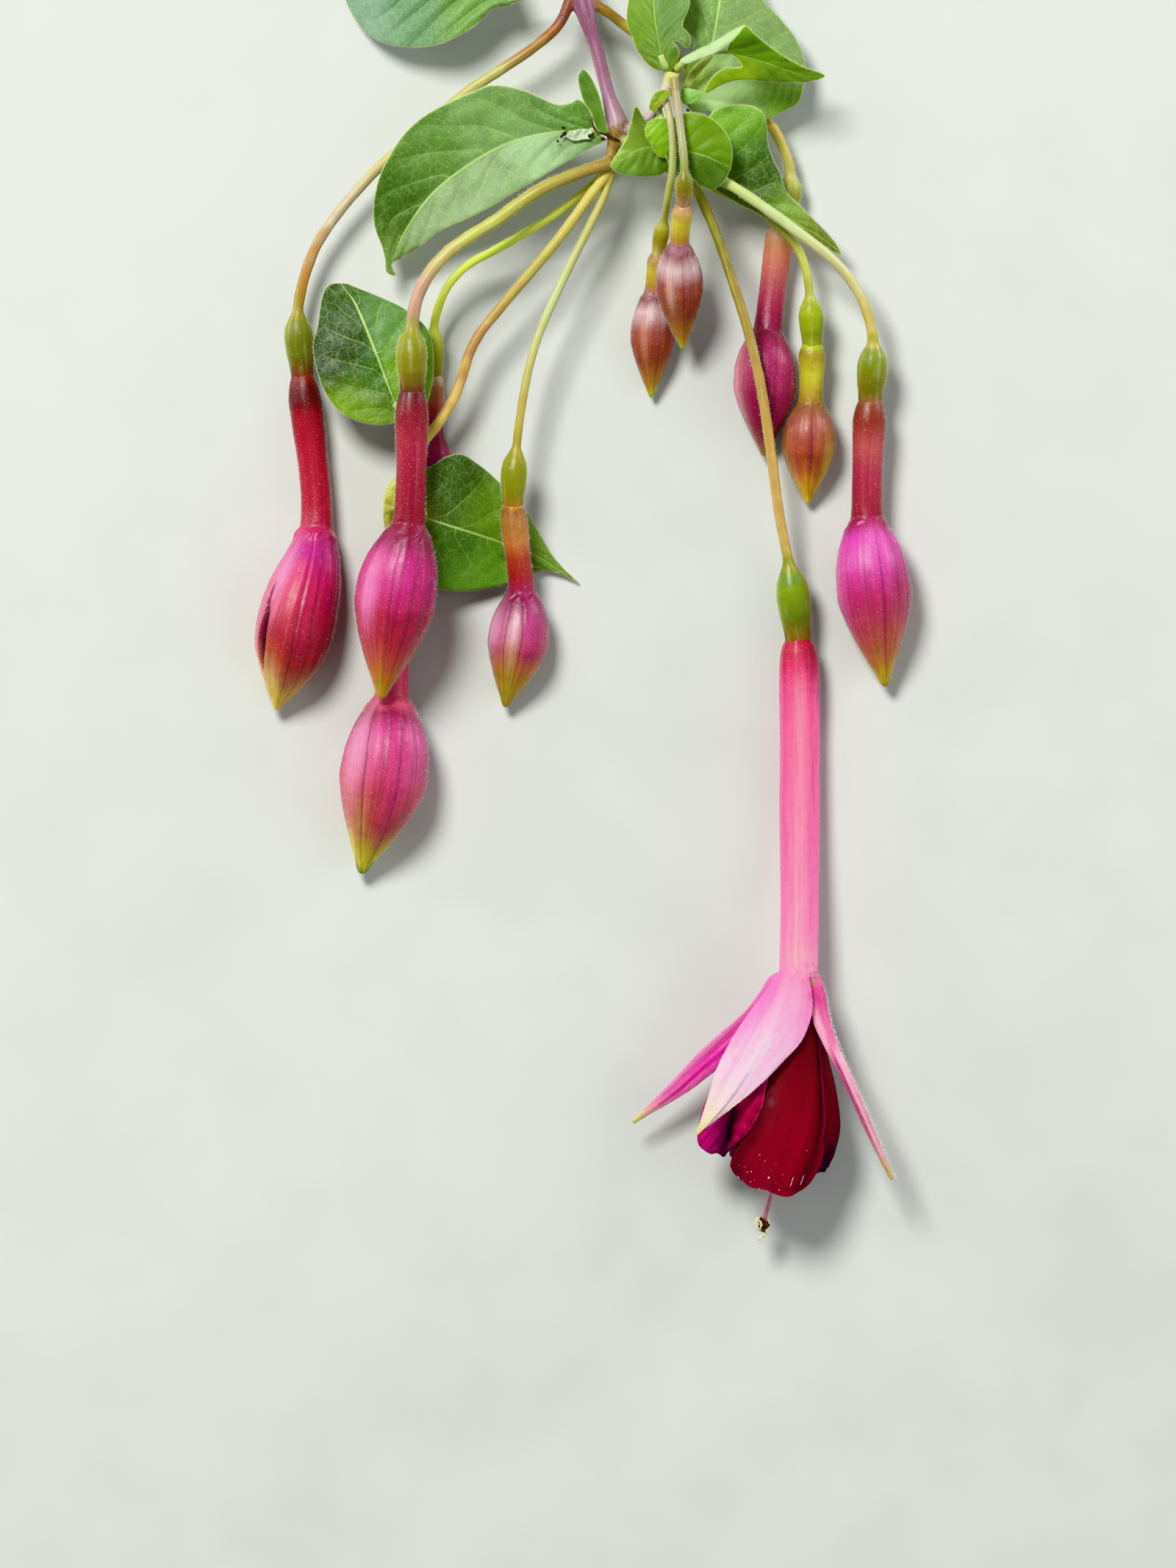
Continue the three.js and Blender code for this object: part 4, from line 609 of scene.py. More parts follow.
def blend_spots(spots, xy, reach, side, spot_side):
    """A colour for each point from spots [x, y, colour], with a break between the sides of the rib, so that
    one half can be painted lighter than the other.
    """
    at, colours = np.array([s[:2] for s in spots], float), linear([s[2] for s in spots])
    far = ((xy[:, None] - at[None]) ** 2).sum(-1)
    far = far + (reach * (np.tanh(side * 12)[:, None] - np.tanh(spot_side * 12)[None])) ** 2
    return mean_nearby(far, colours, reach)


# ---------------------------------------------------------------- meshes


# How finely bodies are fused into one skin, in millimetres, and how often that is then softened.
FUSE_VOXEL = 0.17
SOFTEN_STEPS = 3


def add_object(name, data):
    """A new object in the scene."""
    thing = bpy.data.objects.new(name, data)
    bpy.context.scene.collection.objects.link(thing)
    return thing


class Form:
    """Points, faces and paint that become one mesh."""

    def __init__(self):
        self.points, self.faces, self.tint, self.marks, self.flow, self.count = [], [], [], [], [], 0

    def add(self, points, faces, tint, flow=None, marks=(0, 0, 0)):
        """faces are arrays of corners; flow gives each face's corners their place on the pattern."""
        points = np.asarray(points, float)
        n = len(points)
        self.points.append(points)
        self.tint.append(np.broadcast_to(tint, (n, 3)))
        self.marks.append(np.broadcast_to(marks, (n, 3)))
        for k, f in enumerate(faces):
            f = np.asarray(f, int)
            corners = np.zeros((*f.shape, 2)) if flow is None else flow[k]
            self.faces.append(f + self.count)
            self.flow.append(corners)
        self.count += n
        return self

    def mesh(self, name):
        mesh = bpy.data.meshes.new(name)
        points = np.vstack(self.points) * MM
        mesh.vertices.add(len(points))
        mesh.vertices.foreach_set("co", points.astype(np.float32).ravel())
        corners = np.concatenate([f.ravel() for f in self.faces])
        sizes = np.concatenate([np.full(len(f), f.shape[1]) for f in self.faces])
        mesh.loops.add(len(corners))
        mesh.loops.foreach_set("vertex_index", corners.astype(np.int32))
        mesh.polygons.add(len(sizes))
        starts = np.concatenate([[0], np.cumsum(sizes)[:-1]])
        mesh.polygons.foreach_set("loop_start", starts.astype(np.int32))
        mesh.update(calc_edges=True)
        return mesh

    def build(self, name, material, slot, stands_for=()):
        """The form as a piece that rides on the part."""
        mesh = self.mesh(name)
        flow = mesh.uv_layers.new(name="flow")
        flow.data.foreach_set("uv", np.concatenate([c.reshape(-1) for c in self.flow]).astype(np.float32))
        for label, rows in (("tint", self.tint), ("marks", self.marks)):
            colour = mesh.attributes.new(label, "FLOAT_COLOR", "POINT")
            rgb = np.vstack(rows)
            rgba = np.column_stack([rgb, np.ones(len(rgb))]).astype(np.float32)
            colour.data.foreach_set("color", rgba.ravel())
        mesh.shade_smooth()
        mesh.materials.append(material)
        piece = add_object(name, mesh)
        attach(piece, "root")
        if stands_for:
            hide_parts(*stands_for)
        return piece

    def fused(self):
        """The form's bodies as one skin: its points, faces, and its paint and marks from the bodies."""
        mesh = self.mesh("draft")
        draft = add_object("draft", mesh)
        remesh = draft.modifiers.new("fuse", "REMESH")
        remesh.mode, remesh.voxel_size = "VOXEL", FUSE_VOXEL * MM
        soften = draft.modifiers.new("soften", "SMOOTH")
        soften.factor, soften.iterations = 0.5, SOFTEN_STEPS
        skin = draft.evaluated_get(bpy.context.evaluated_depsgraph_get()).to_mesh()
        points = np.empty(len(skin.vertices) * 3)
        skin.vertices.foreach_get("co", points)
        points = points.reshape(-1, 3) / MM
        faces = np.array([tuple(p.vertices) for p in skin.polygons if len(p.vertices) == 4])
        bpy.data.objects.remove(draft)
        bpy.data.meshes.remove(mesh)
        tree = KDTree(self.count)
        for i, point in enumerate(np.vstack(self.points)):
            tree.insert(point, i)
        tree.balance()
        near = [tree.find_n(point, 4) for point in points]
        which = np.array([[n[1] for n in found] for found in near])
        weight = 1 / (np.array([[n[2] for n in found] for found in near]) + 0.02)
        weight = (weight / weight.sum(1, keepdims=True))[..., None]
        values = np.hstack([np.vstack(self.tint), np.vstack(self.marks)])
        carried = (values[which] * weight).sum(1)
        return points, faces, carried[:, :3], carried[:, 3:]


def grid(down, across):
    """Two tables of the numbers down and across a grid."""
    return np.meshgrid(down, across, indexing="ij")


def grid_faces(rows, columns, closed):
    """Quads of a grid of points, and the row and the column of each."""
    wide = columns if closed else columns - 1
    i, j = grid(np.arange(rows - 1), np.arange(wide))
    after = (j + 1) % columns
    quads = np.stack([i * columns + j, i * columns + after, (i + 1) * columns + after,
                      (i + 1) * columns + j], -1)
    return quads.reshape(-1, 4), i.ravel(), j.ravel()


def end_caps(rows, columns):
    """Triangles that close a round grid's ends; its two end points follow the points of the grid."""
    ring = np.arange(columns)
    after = (ring + 1) % columns
    last = (rows - 1) * columns
    tip = np.full(columns, rows * columns)
    return np.stack([tip, ring, after], -1), np.stack([tip + 1, last + after, last + ring], -1)


def corners_of(points, faces):
    """The first, second and third corners of all faces."""
    return (points[faces[:, k]] for k in range(3))


def triangles_of(faces):
    """The faces as triangles, with quads cut in two."""
    return faces if faces.shape[1] == 3 else np.vstack([faces[:, :3], faces[:, [0, 2, 3]]])


def lathe(form, path, s, angles, radius, tint, flow=None, marks=None):
    """Adds a closed round body along a path. radius, tint, flow and marks take distances and angles."""
    centre, _, side, above = path.frames(s)
    S, A = grid(s, angles)
    r = radius(S, A)
    points = (centre[:, None] + side[:, None] * (np.cos(A) * r)[..., None]
              + above[:, None] * (np.sin(A) * r)[..., None])
    points[..., 2] = np.maximum(points[..., 2], 0)
    rows, columns = S.shape
    quads, i, j = grid_faces(rows, columns, True)
    turn_s, turn_a = grid(s, np.append(angles, angles[0] + 2 * math.pi))
    U, V = (turn_a, turn_s) if flow is None else flow(turn_s, turn_a)
    UV = np.stack([U, V], -1)
    corners = np.stack([UV[i, j], UV[i, j + 1], UV[i + 1, j + 1], UV[i + 1, j]], 1)
    caps = [np.stack([UV[k, :-1]] * 3, 1) for k in (0, -1)]
    flat = points.reshape(-1, 3)
    ends = np.stack([points[0].mean(0), points[-1].mean(0)])
    colour = np.broadcast_to(tint(S, A), (rows, columns, 3)).reshape(-1, 3)
    mark = np.broadcast_to(0.0 if marks is None else marks(S, A), (rows, columns, 3)).reshape(-1, 3)
    colours, all_marks = (np.vstack([values, values[0], values[-1]]) for values in (colour, mark))
    form.add(np.vstack([flat, ends]), [quads[:, ::-1], *end_caps(*S.shape)], colours,
             [corners[:, ::-1], *caps], all_marks)
    return flat, quads[:, ::-1], colour


def thin_sheet(form, points, faces, rim, thickness, tint, under_tint, flow, marks):
    """Adds a thin closed sheet over a surface of triangles or quads, with its rim in order."""
    n = len(points)
    a, b, c = corners_of(points, faces)
    normal = np.zeros_like(points)
    face_normal = np.cross(b - a, c - a)
    for k in range(faces.shape[1]):
        np.add.at(normal, faces[:, k], face_normal)
    normal = unit(normal)
    half = np.broadcast_to(thickness, (n,))[:, None] / 2
    both = np.vstack([points + normal * half, points - normal * half])
    both[:, 2] = np.maximum(both[:, 2], 0.0)
    under = faces[:, ::-1] + n
    after = np.roll(rim, -1)
    edge = np.stack([rim, rim + n, after + n, after], -1)
    form.add(both, [faces, under, edge], np.vstack([tint, under_tint]),
             [flow[faces], flow[under - n], flow[edge % n]], np.vstack([marks, marks + [0, 0, 1]]))


# ---------------------------------------------------------------- hairs


def scatter(points, faces, count, rng, keep=None):
    """Random places on a surface, with its normals there."""
    tris = triangles_of(faces)
    a, b, c = corners_of(points, tris)
    normal = np.cross(b - a, c - a)
    area = np.linalg.norm(normal, axis=1)
    if keep is not None:
        area = area * keep[tris].mean(1)
    pick = rng.choice(len(tris), count, p=area / area.sum())
    p, q = rng.random((2, count, 1))
    over = p + q > 1
    p, q = np.where(over, 1 - p, p), np.where(over, 1 - q, q)
    return a[pick] + (b - a)[pick] * p + (c - a)[pick] * q, unit(normal[pick]), tris[pick, 0]


def hairs(form, roots, ways, lengths, thick, tint, rng, lean=0.35):
    """Adds fine tapered hairs that stand on a surface."""
    n = len(roots)
    ways = unit(ways + rng.normal(0, lean, (n, 3)))
    across = unit(np.cross(ways, rng.normal(0, 1, (n, 3))))
    third = np.cross(ways, across)
    base = [roots - ways * 0.04 + (across * math.cos(t) + third * math.sin(t)) * thick
            for t in (0, 2.094, 4.189)]
    points = np.stack([*base, roots + ways * lengths[:, None]], 1)
    points[..., 2] = np.maximum(points[..., 2], 0.005)
    k = np.arange(n)[:, None] * 4
    corner = np.array([[0, 1, 3], [1, 2, 3], [2, 0, 3], [0, 2, 1]])
    faces = (k[:, None] + corner[None]).reshape(-1, 3)
    form.add(points.reshape(-1, 3), [faces], np.repeat(np.broadcast_to(tint, (n, 3)), 4, 0))


# ---------------------------------------------------------------- materials


class Shader:
    """Builds the nodes of one material."""

    def __init__(self, name, **constants):
        self.material = bpy.data.materials.new(name)
        self.material.use_nodes = True
        self.nodes, self.links = self.material.node_tree.nodes, self.material.node_tree.links
        self.surface = self.nodes["Principled BSDF"]
        for key, value in constants.items():
            self.surface.inputs[key.replace("_", " ")].default_value = value

    def node(self, kind, settings=None, out=0, **inputs):
        """A node with its inputs set or linked; inputs are named a, b, c for the first three."""
        n = self.nodes.new("ShaderNode" + kind)
        for key, value in (settings or {}).items():
            setattr(n, key, value)
        for key, value in inputs.items():
            socket = n.inputs["abcd".index(key)] if len(key) == 1 else n.inputs[key.replace("_", " ")]
            self.feed(socket, value)
        return n.outputs[out]

    def feed(self, socket, value):
        if isinstance(value, bpy.types.NodeSocket):
            self.links.new(value, socket)
        else:
            socket.default_value = value

    def math(self, operation, a, b=0.0, c=0.0):
        return self.node("Math", {"operation": operation}, a=a, b=b, c=c)

    def times(self, a, b):
        return self.math("MULTIPLY", a, b)

    def attribute(self, name):
        return self.node("Attribute", {"attribute_name": name})

    def flow(self):
        """The two coordinates of the surface's own pattern."""
        split = self.nodes.new("ShaderNodeSeparateXYZ")
        self.links.new(self.node("UVMap", {"uv_map": "flow"}), split.inputs[0])
        return split.outputs[0], split.outputs[1]

    def marks(self):
        split = self.nodes.new("ShaderNodeSeparateColor")
        self.links.new(self.attribute("marks"), split.inputs[0])
        return split.outputs[0], split.outputs[1], split.outputs[2]

    def noise(self, scale, detail=3.0, vector=None, distortion=0.0):
        where = self.node("TexCoord", out=3) if vector is None else vector
        return self.node("TexNoise", Vector=where, Scale=scale, Detail=detail, Distortion=distortion)

    def between(self, x, low, high, to_low=0.0, to_high=1.0):
        n = self.nodes.new("ShaderNodeMapRange")
        n.interpolation_type = "SMOOTHSTEP"
        for k, value in enumerate((x, low, high, to_low, to_high)):
            self.feed(n.inputs[k], value)
        return n.outputs[0]

    def mix(self, a, b, share, how="MIX"):
        n = self.nodes.new("ShaderNodeMix")
        n.data_type, n.blend_type = "RGBA", how
        self.feed(n.inputs[0], share)
        self.feed(n.inputs[6], a if isinstance(a, bpy.types.NodeSocket) else (*one(a), 1))
        self.feed(n.inputs[7], b if isinstance(b, bpy.types.NodeSocket) else (*one(b), 1))
        return n.outputs[2]

    def stained(self, colour, paint, depth):
        """The colour multiplied with a paint."""
        return self.mix(colour, paint, depth, "MULTIPLY")

    def line(self, x, width):
        """1 where x is a whole number, falling to 0 over width."""
        return self.between(self.math("PINGPONG", x, 0.5), 0.0, width, 1.0, 0.0)

    def vector(self, x, y, z=0.0):
        return self.node("CombineXYZ", a=x, b=y, c=z)

    def finish(self, colour, roughness=None, height=None, depth=0.1, strength=0.5):
        self.feed(self.surface.inputs["Base Color"], colour)
        if roughness is not None:
            self.feed(self.surface.inputs["Roughness"], roughness)
        if height is not None:
            bump = self.nodes.new("ShaderNodeBump")
            bump.inputs["Strength"].default_value = strength
            bump.inputs["Distance"].default_value = depth * MM
            self.links.new(height, bump.inputs["Height"])
            self.links.new(bump.outputs[0], self.surface.inputs["Normal"])
        return self.material


def petal_skin(name, sheen=0.2):
    """Sepals and tubes: fine dark lines at whole steps of the flow, soft streaks and fibres along it."""
    m = Shader(name, Subsurface_Weight=0.1, Subsurface_Scale=0.001, Sheen_Weight=sheen,
               Sheen_Roughness=0.4, Specular_IOR_Level=0.45, Subsurface_Radius=(1.0, 0.35, 0.35))
    u, v = m.flow()
    lined, tube, _ = m.marks()
    shaken = m.math("ADD", u, m.times(m.math("SUBTRACT", m.noise(120.0, 1.0), 0.5), 0.09))
    streak = m.noise(1.0, 2.0, m.vector(m.times(u, 2.6), m.times(v, 1.1)))
    fibre = m.noise(1.0, 4.0, m.vector(m.times(u, 12.0), m.times(v, 3.0)))
    seam = m.line(shaken, 0.045)
    thin = m.line(m.times(shaken, 3.0), 0.1)
    mottle = m.noise(900.0, 4.0)
    speck = m.between(m.noise(4200.0, 1.0), 0.64, 0.74)
    tint = m.attribute("tint")
    on_sepals = m.between(tube, 0.0, 1.0, 1.0, 0.3)
    colour = m.mix(tint, m.stained(tint, "8c1450", 0.75),
                   m.times(m.between(streak, 0.45, 0.72, 0.0, 0.38), on_sepals))
    colour = m.mix(colour, "ffd0e4", m.times(m.between(streak, 0.42, 0.25), 0.06))
    colour = m.mix(colour, m.stained(colour, "6c1038", 0.6), m.times(lined, m.times(thin, 0.3)))
    colour = m.mix(colour, "4c0a24", m.times(lined, m.times(seam, 0.75)))
    colour = m.mix(colour, "ffd8e8", m.times(m.between(fibre, 0.55, 0.8, 0.0, 0.05), on_sepals))
    colour = m.mix(colour, m.stained(colour, "701848", 0.5), m.times(m.between(mottle, 0.45, 0.7), 0.3))
    colour = m.mix(colour, "ffe6f2", m.times(speck, 0.16))
    height = m.math("ADD", m.times(fibre, 0.3), m.times(m.noise(4200.0, 2.0), 0.5))
    return m.finish(colour, m.between(mottle, 0.3, 0.7, 0.36, 0.48), height, 0.12, 0.5)


def stalk_skin(name, sheen=0.2):
    """Stalks, ovaries and stem: faint lengthwise streaks and a fine grain."""
    m = Shader(name, Subsurface_Weight=0.12, Subsurface_Scale=0.001, Sheen_Weight=sheen,
               Sheen_Roughness=0.4, Specular_IOR_Level=0.45, Subsurface_Radius=(0.8, 0.9, 0.3))
    u, v = m.flow()
    streak = m.noise(1.0, 2.0, m.vector(m.times(u, 1.3), m.times(v, 0.12)))
    fine = m.noise(2600.0, 3.0)
    tint = m.attribute("tint")
    colour = m.mix(tint, m.stained(tint, "8c6c30", 0.6), m.times(m.between(streak, 0.5, 0.72), 0.3))
    colour = m.mix(colour, "f0eec0", m.times(m.between(streak, 0.46, 0.3), 0.12))
    colour = m.mix(colour, "f8f4d0", m.times(m.between(fine, 0.6, 0.75), 0.16))
    height = m.math("ADD", m.times(streak, 0.4), m.times(fine, 0.4))
    return m.finish(colour, m.between(streak, 0.3, 0.7, 0.4, 0.5), height, 0.08, 0.5)


def leaf_skin(name, vein, under_vein, young=False):
    """Leaves: side veins at whole steps of the flow, a faint net of fine veins and pale margins."""
    m = Shader(name, Subsurface_Weight=0.08, Subsurface_Scale=0.0008, Sheen_Weight=0.06,
               Sheen_Roughness=0.5, Specular_IOR_Level=0.36, Subsurface_Radius=(0.5, 1.0, 0.2))
    u, v = m.flow()
    wide, rim, under = m.marks()
    where = m.node("TexCoord", out=3)
    wander = m.times(m.math("SUBTRACT", m.noise(110.0, 2.0), 0.5), 0.34)
    side = m.line(m.math("ADD", u, wander), 0.032)
    side = m.times(side, m.between(wide, 0.1, 1.0, 1.0, 0.15))
    midrib = m.between(m.math("ABSOLUTE", v), 0.07, 0.13, 1.0, 0.0)
    jitter = m.node("TexNoise", None, 1, Vector=where, Scale=700.0)
    jitter = m.node("VectorMath", {"operation": "SCALE"}, a=jitter, Scale=0.0014)
    shaken = m.node("VectorMath", {"operation": "ADD"}, a=where, b=jitter)
    net = m.node("TexVoronoi", {"feature": "DISTANCE_TO_EDGE"}, Vector=shaken, Scale=640.0, Randomness=1.0)
    net = m.between(net, 0.0, 0.09, 1.0, 0.0)
    small = m.node("TexVoronoi", {"feature": "DISTANCE_TO_EDGE"}, Vector=where, Scale=1700.0, Randomness=1.0)
    small = m.between(small, 0.0, 0.3, 1.0, 0.0)
    mottle = m.noise(300.0, 4.0)
    grain = m.noise(3000.0, 2.0)
    tint = m.attribute("tint")
    colour = m.mix(tint, m.stained(tint, "3c6028", 0.6), m.times(m.between(mottle, 0.45, 0.72), 0.35))
    colour = m.mix(colour, vein, m.times(net, 0.0 if young else 0.13))
    colour = m.mix(colour, vein, m.times(small, 0.03 if young else 0.06))
    colour = m.mix(colour, vein, m.times(side, 0.16 if young else 0.42))
    colour = m.mix(colour, vein, m.times(midrib, 0.3 if young else 0.75))
    colour = m.mix(colour, "eaf2c8", m.times(m.between(grain, 0.6, 0.72), 0.04 if young else 0.14))
    at_rim = m.times(m.between(rim, 0.0, 0.2, 1.0, 0.0), 0.5)
    colour = m.mix(colour, "bcd45c" if young else "ccd88c", at_rim)
    colour = m.mix(colour, m.mix(colour, under_vein, 0.42), under)
    height = m.math("SUBTRACT", m.times(grain, 0.35), m.times(small, 0.1))
    return m.finish(colour, m.between(mottle, 0.3, 0.7, 0.5, 0.62), height, 0.1, 0.5)


def corolla_skin():
    """Petals: deep velvet with faint fan veins along the flow and purple-black creases."""
    m = Shader("corolla_velvet", Subsurface_Weight=0.08, Subsurface_Scale=0.0008, Specular_IOR_Level=0.14,
               Subsurface_Radius=(1.0, 0.1, 0.15))
    u, v = m.flow()
    crease, _, _ = m.marks()
    fan = m.noise(1.0, 2.0, m.vector(m.times(u, 3.2), m.times(v, 0.9)))
    fine = m.noise(1.0, 3.0, m.vector(m.times(u, 22.0), m.times(v, 3.0)), 0.3)
    mottle = m.noise(500.0, 4.0)
    tint = m.attribute("tint")
    colour = m.mix(tint, m.stained(tint, "5c0010", 0.7), m.times(m.between(fan, 0.45, 0.75), 0.3))
    colour = m.mix(colour, "b00c40", m.times(m.between(fine, 0.55, 0.75), 0.08))
    colour = m.mix(colour, "2a0006", m.times(m.between(mottle, 0.55, 0.75), 0.18))
    colour = m.mix(colour, m.mix("180618", "3c2450", m.between(fine, 0.5, 0.7)), m.times(crease, 0.92))
    height = m.math("ADD", m.times(fan, 0.3), m.times(fine, 0.3))
    return m.finish(colour, m.between(mottle, 0.3, 0.7, 0.5, 0.62), height, 0.1, 0.4)


def down_skin():
    m = Shader("down", Subsurface_Weight=0.2, Subsurface_Scale=0.0003, Roughness=0.35)
    tint = m.attribute("tint")
    return m.finish(m.mix(tint, "ffffff", m.between(m.noise(300.0, 2.0), 0.3, 0.7, 0.1, 0.45)))


def grain_skin(name, pale, dark, roughness):
    """Small plain things such as anthers and pollen: a mottled colour and a rough grain."""
    m = Shader(name, Subsurface_Weight=0.1, Subsurface_Scale=0.0003, Specular_IOR_Level=0.35)
    mottle = m.noise(2600.0, 4.0)
    colour = m.mix(pale, dark, m.between(mottle, 0.4, 0.66))
    return m.finish(colour, m.between(mottle, 0.3, 0.7, roughness - 0.1, roughness + 0.1), mottle, 0.15, 0.8)


# ---------------------------------------------------------------- stalks and buds

BUD_SKIN = petal_skin("bud_skin")
STALK_SKIN = stalk_skin("stalk_skin")
DOWN = down_skin()
PALE_DOWN = one("fff6f0")
# Hairs on each kind of surface: how many to a square millimetre, and their length in millimetres.
HAIRS = {"bud": (5.5, 0.34), "bud_stalk": (5.5, 0.4), "stem": (3.4, 0.34), "leaf": (1.1, 0.3),
         "calyx": (2.4, 0.36), "flower_stalk": (3.4, 0.42)}


def bud_path(spec):
    belly = spec["belly"] if len(spec["belly"]) == 3 else [*spec["belly"], spec["radii"][3] - PRESS]
    return Path([*spec["stalk"], spec["neck"], spec["throat"], belly, spec["tip"]])


def even_angles(count):
    return np.linspace(0, 2 * math.pi, count, endpoint=False)


def stalk_piece(name, path, spec, stops, slot, seed):
    """A stalk with the ovary that it swells into."""
    thin, ovary_radius = spec["radii"][:2]
    n = len(spec["stalk"])
    ovary, neck = path.marks[n - 1], path.marks[n]
    length = neck - ovary
    start = max(spec["root"] - 0.5, 0)

    def radius(s, a):
        stalk = thin * (1 + 0.04 * waves(seed, s * 1.1, np.sin(a)) + 0.02 * np.cos(3 * a + s * 0.2))
        stalk = stalk * np.where(s < start + 0.7, 0.9 + 0.1 * (s - start) / 0.7, 1)
        k = (s - ovary) / length
        swell = ovary_radius * flowing(OVARY_PROFILE, k) * (1 + 0.01 * np.cos(4 * a + 0.6))
        swell = swell * (1 + 0.015 * waves(seed + 5, s * 1.2, a))
        return (stalk ** 6 + np.maximum(swell, 0) ** 6) ** (1 / 6)

    def tint(s, a):
        x = np.where(s < ovary, s / ovary, 1 + (s - ovary) / length)
        ragged = 0.05 * waves(seed + 9, s, np.sin(a) * 2)
        ragged = ragged + 0.05 * waves(seed + 8, a * 4) * smoothstep(x, 1.7, 2)
        colour = gradient(stops, x + ragged)
        # Paler and yellower along both sides of the ovary as seen from above: a painted highlight on its
        # rims.
        side = 1 - np.abs(np.sin(a))
        pale = smoothstep(x, 1.0, 1.15) * (1 - smoothstep(x, 1.75, 1.95)) * side ** 2
        return toward(colour, "ccd868", 0.6 * pale)

    s = np.concatenate([np.arange(start, ovary - 0.8, 0.45), np.linspace(ovary - 0.8, neck + 0.25, 36)])
    form = Form()
    made = lathe(form, path, s, even_angles(28), radius, tint, lambda s, a: (a * 1.6, s))
    form.build(f"{name}_stalk_skin", STALK_SKIN, slot, [f"stalk_{name}"])
    return made


class BudLines:
    """Lines along the closed sepals of a bud, numbered round it from below."""

    def __init__(self, name):
        given = np.array(BUD_LINES[name], float)
        gap = given[0, 0] + 360 - given[-1, 0]
        count = int(gap // 24)
        back = given[-1, 0] + gap * (np.arange(count) + 1) / (count + 1)
        rows = np.vstack([given, np.column_stack([back, back, np.full(count, 0.35)])])
        self.count = len(rows)
        turned = [rows + [turn, turn, 0] for turn in (-360, 0, 360)]
        self.rows = np.vstack(turned)
        self.numbers = np.arange(len(self.rows)) - self.count

    def at(self, k, a):
        """The place among the lines, and how strong they are there."""
        share = np.clip((k - 0.1) / 0.8, 0, 1)
        place_among, strength = np.empty_like(a), np.empty_like(a)
        for row in range(len(a)):
            angles = np.radians(self.rows[:, 0] + (self.rows[:, 1] - self.rows[:, 0]) * share[row, 0])
            place_among[row] = np.interp(a[row], angles, self.numbers)
            strength[row] = np.interp(a[row], angles, self.rows[:, 2])
        return place_among, strength


# Points round a bud; the far left one needs more, for the sharp edges of its gap.
BUD_SIDES = 128
FINE_BUD_SIDES = 420
# The far left bud's gap between two sepals: its right edge and its width in degrees along the bud.
GAP_EDGE = [[0.32, 33], [0.45, 41], [0.535, 46.5], [0.65, 48.5], [0.72, 46], [0.8, 38]]
GAP_WIDTH = [[0.33, 0], [0.38, 7], [0.45, 13], [0.535, 17], [0.65, 23], [0.72, 18], [0.765, 8], [0.79, 0]]


def opening_of(k, a):
    """How far inside the far left bud's gap a place is: 0 outside, 1 well inside."""
    wide = np.radians(flowing(GAP_WIDTH, np.clip(k, 0.33, 0.79)))
    middle = np.radians(flowing(GAP_EDGE, np.clip(k, 0.33, 0.79))) - wide / 2
    return smoothstep(wide / 2 - np.abs(a - middle), 0, 0.035)


def bud_radius(s, a, marks, spec, lines, name, seed):
    """Radius of a closed bud: tube, puckered throat, and the closed sepals with lines between."""
    neck, throat, tip = marks
    _, ovary, tube, belly = spec["radii"]
    k = (s - throat) / (tip - throat)
    t = (s - neck) / (throat - neck)
    turn = a - math.radians(spec["seam"])
    waist = ovary * OVARY_PROFILE[-1][1]
    tube_knots = [[-0.2, waist * 0.9], [0, waist], [0.05, (waist + tube) * 0.5], [0.11, tube * 0.98],
                  [0.18, tube * 1.05], [0.32, tube * 1.03], [0.6, tube * 0.95], [0.86, tube * 0.97],
                  [0.96, tube * 1.02], [1, tube * 1.07]]
    lower = flowing(tube_knots, t)
    upper = belly * flowing([[-0.02, 0.42], *spec.get("profile", BUD_PROFILE)], k)
    join = smoothstep(k, -0.05, 0.03)
    r = lower * (1 - join) + np.maximum(upper, lower * (k < 0.1)) * join
    k = k + (0.016 * np.cos(4 * turn) + 0.012 * waves(seed + 8, a * 5)) * bell(k - 0.02, 0.06)
    on_bulb = smoothstep(k, 0.0, 0.16)
    among, strength = lines.at(k, a)
    lobes = -0.022 * (0.5 + 0.5 * np.cos(4 * turn)) ** 2
    groove = -0.022 * strength * bell(to_whole(among), 0.11) * smoothstep(k, 0.0, 0.12)
    puff = 0.008 * (0.5 - 0.5 * np.cos(2 * math.pi * among)) * strength
    crumple = 0.07 * bell(k - 0.035, 0.03) * (0.3 + 0.7 * waves(seed + 2, a * 7, k * 40))
    crumple -= 0.05 * bell(k + 0.012, 0.014) * (0.5 + 0.5 * waves(seed + 5, a * 4))
    ribs = (0.009 * np.cos(4 * turn) + 0.002 * np.cos(9 * a + seed)) * (1 - on_bulb)
    rough = 0.01 * waves(seed, a * 2, s * 0.5) + 0.003 * np.sin(a * 28 + seed) * on_bulb
    factor = 1 + on_bulb * (lobes + puff) + groove + crumple + ribs + rough
    if name == "far_left":
        inside_gap = opening_of(k, a)
        factor = factor - 0.32 * inside_gap
    return r * factor


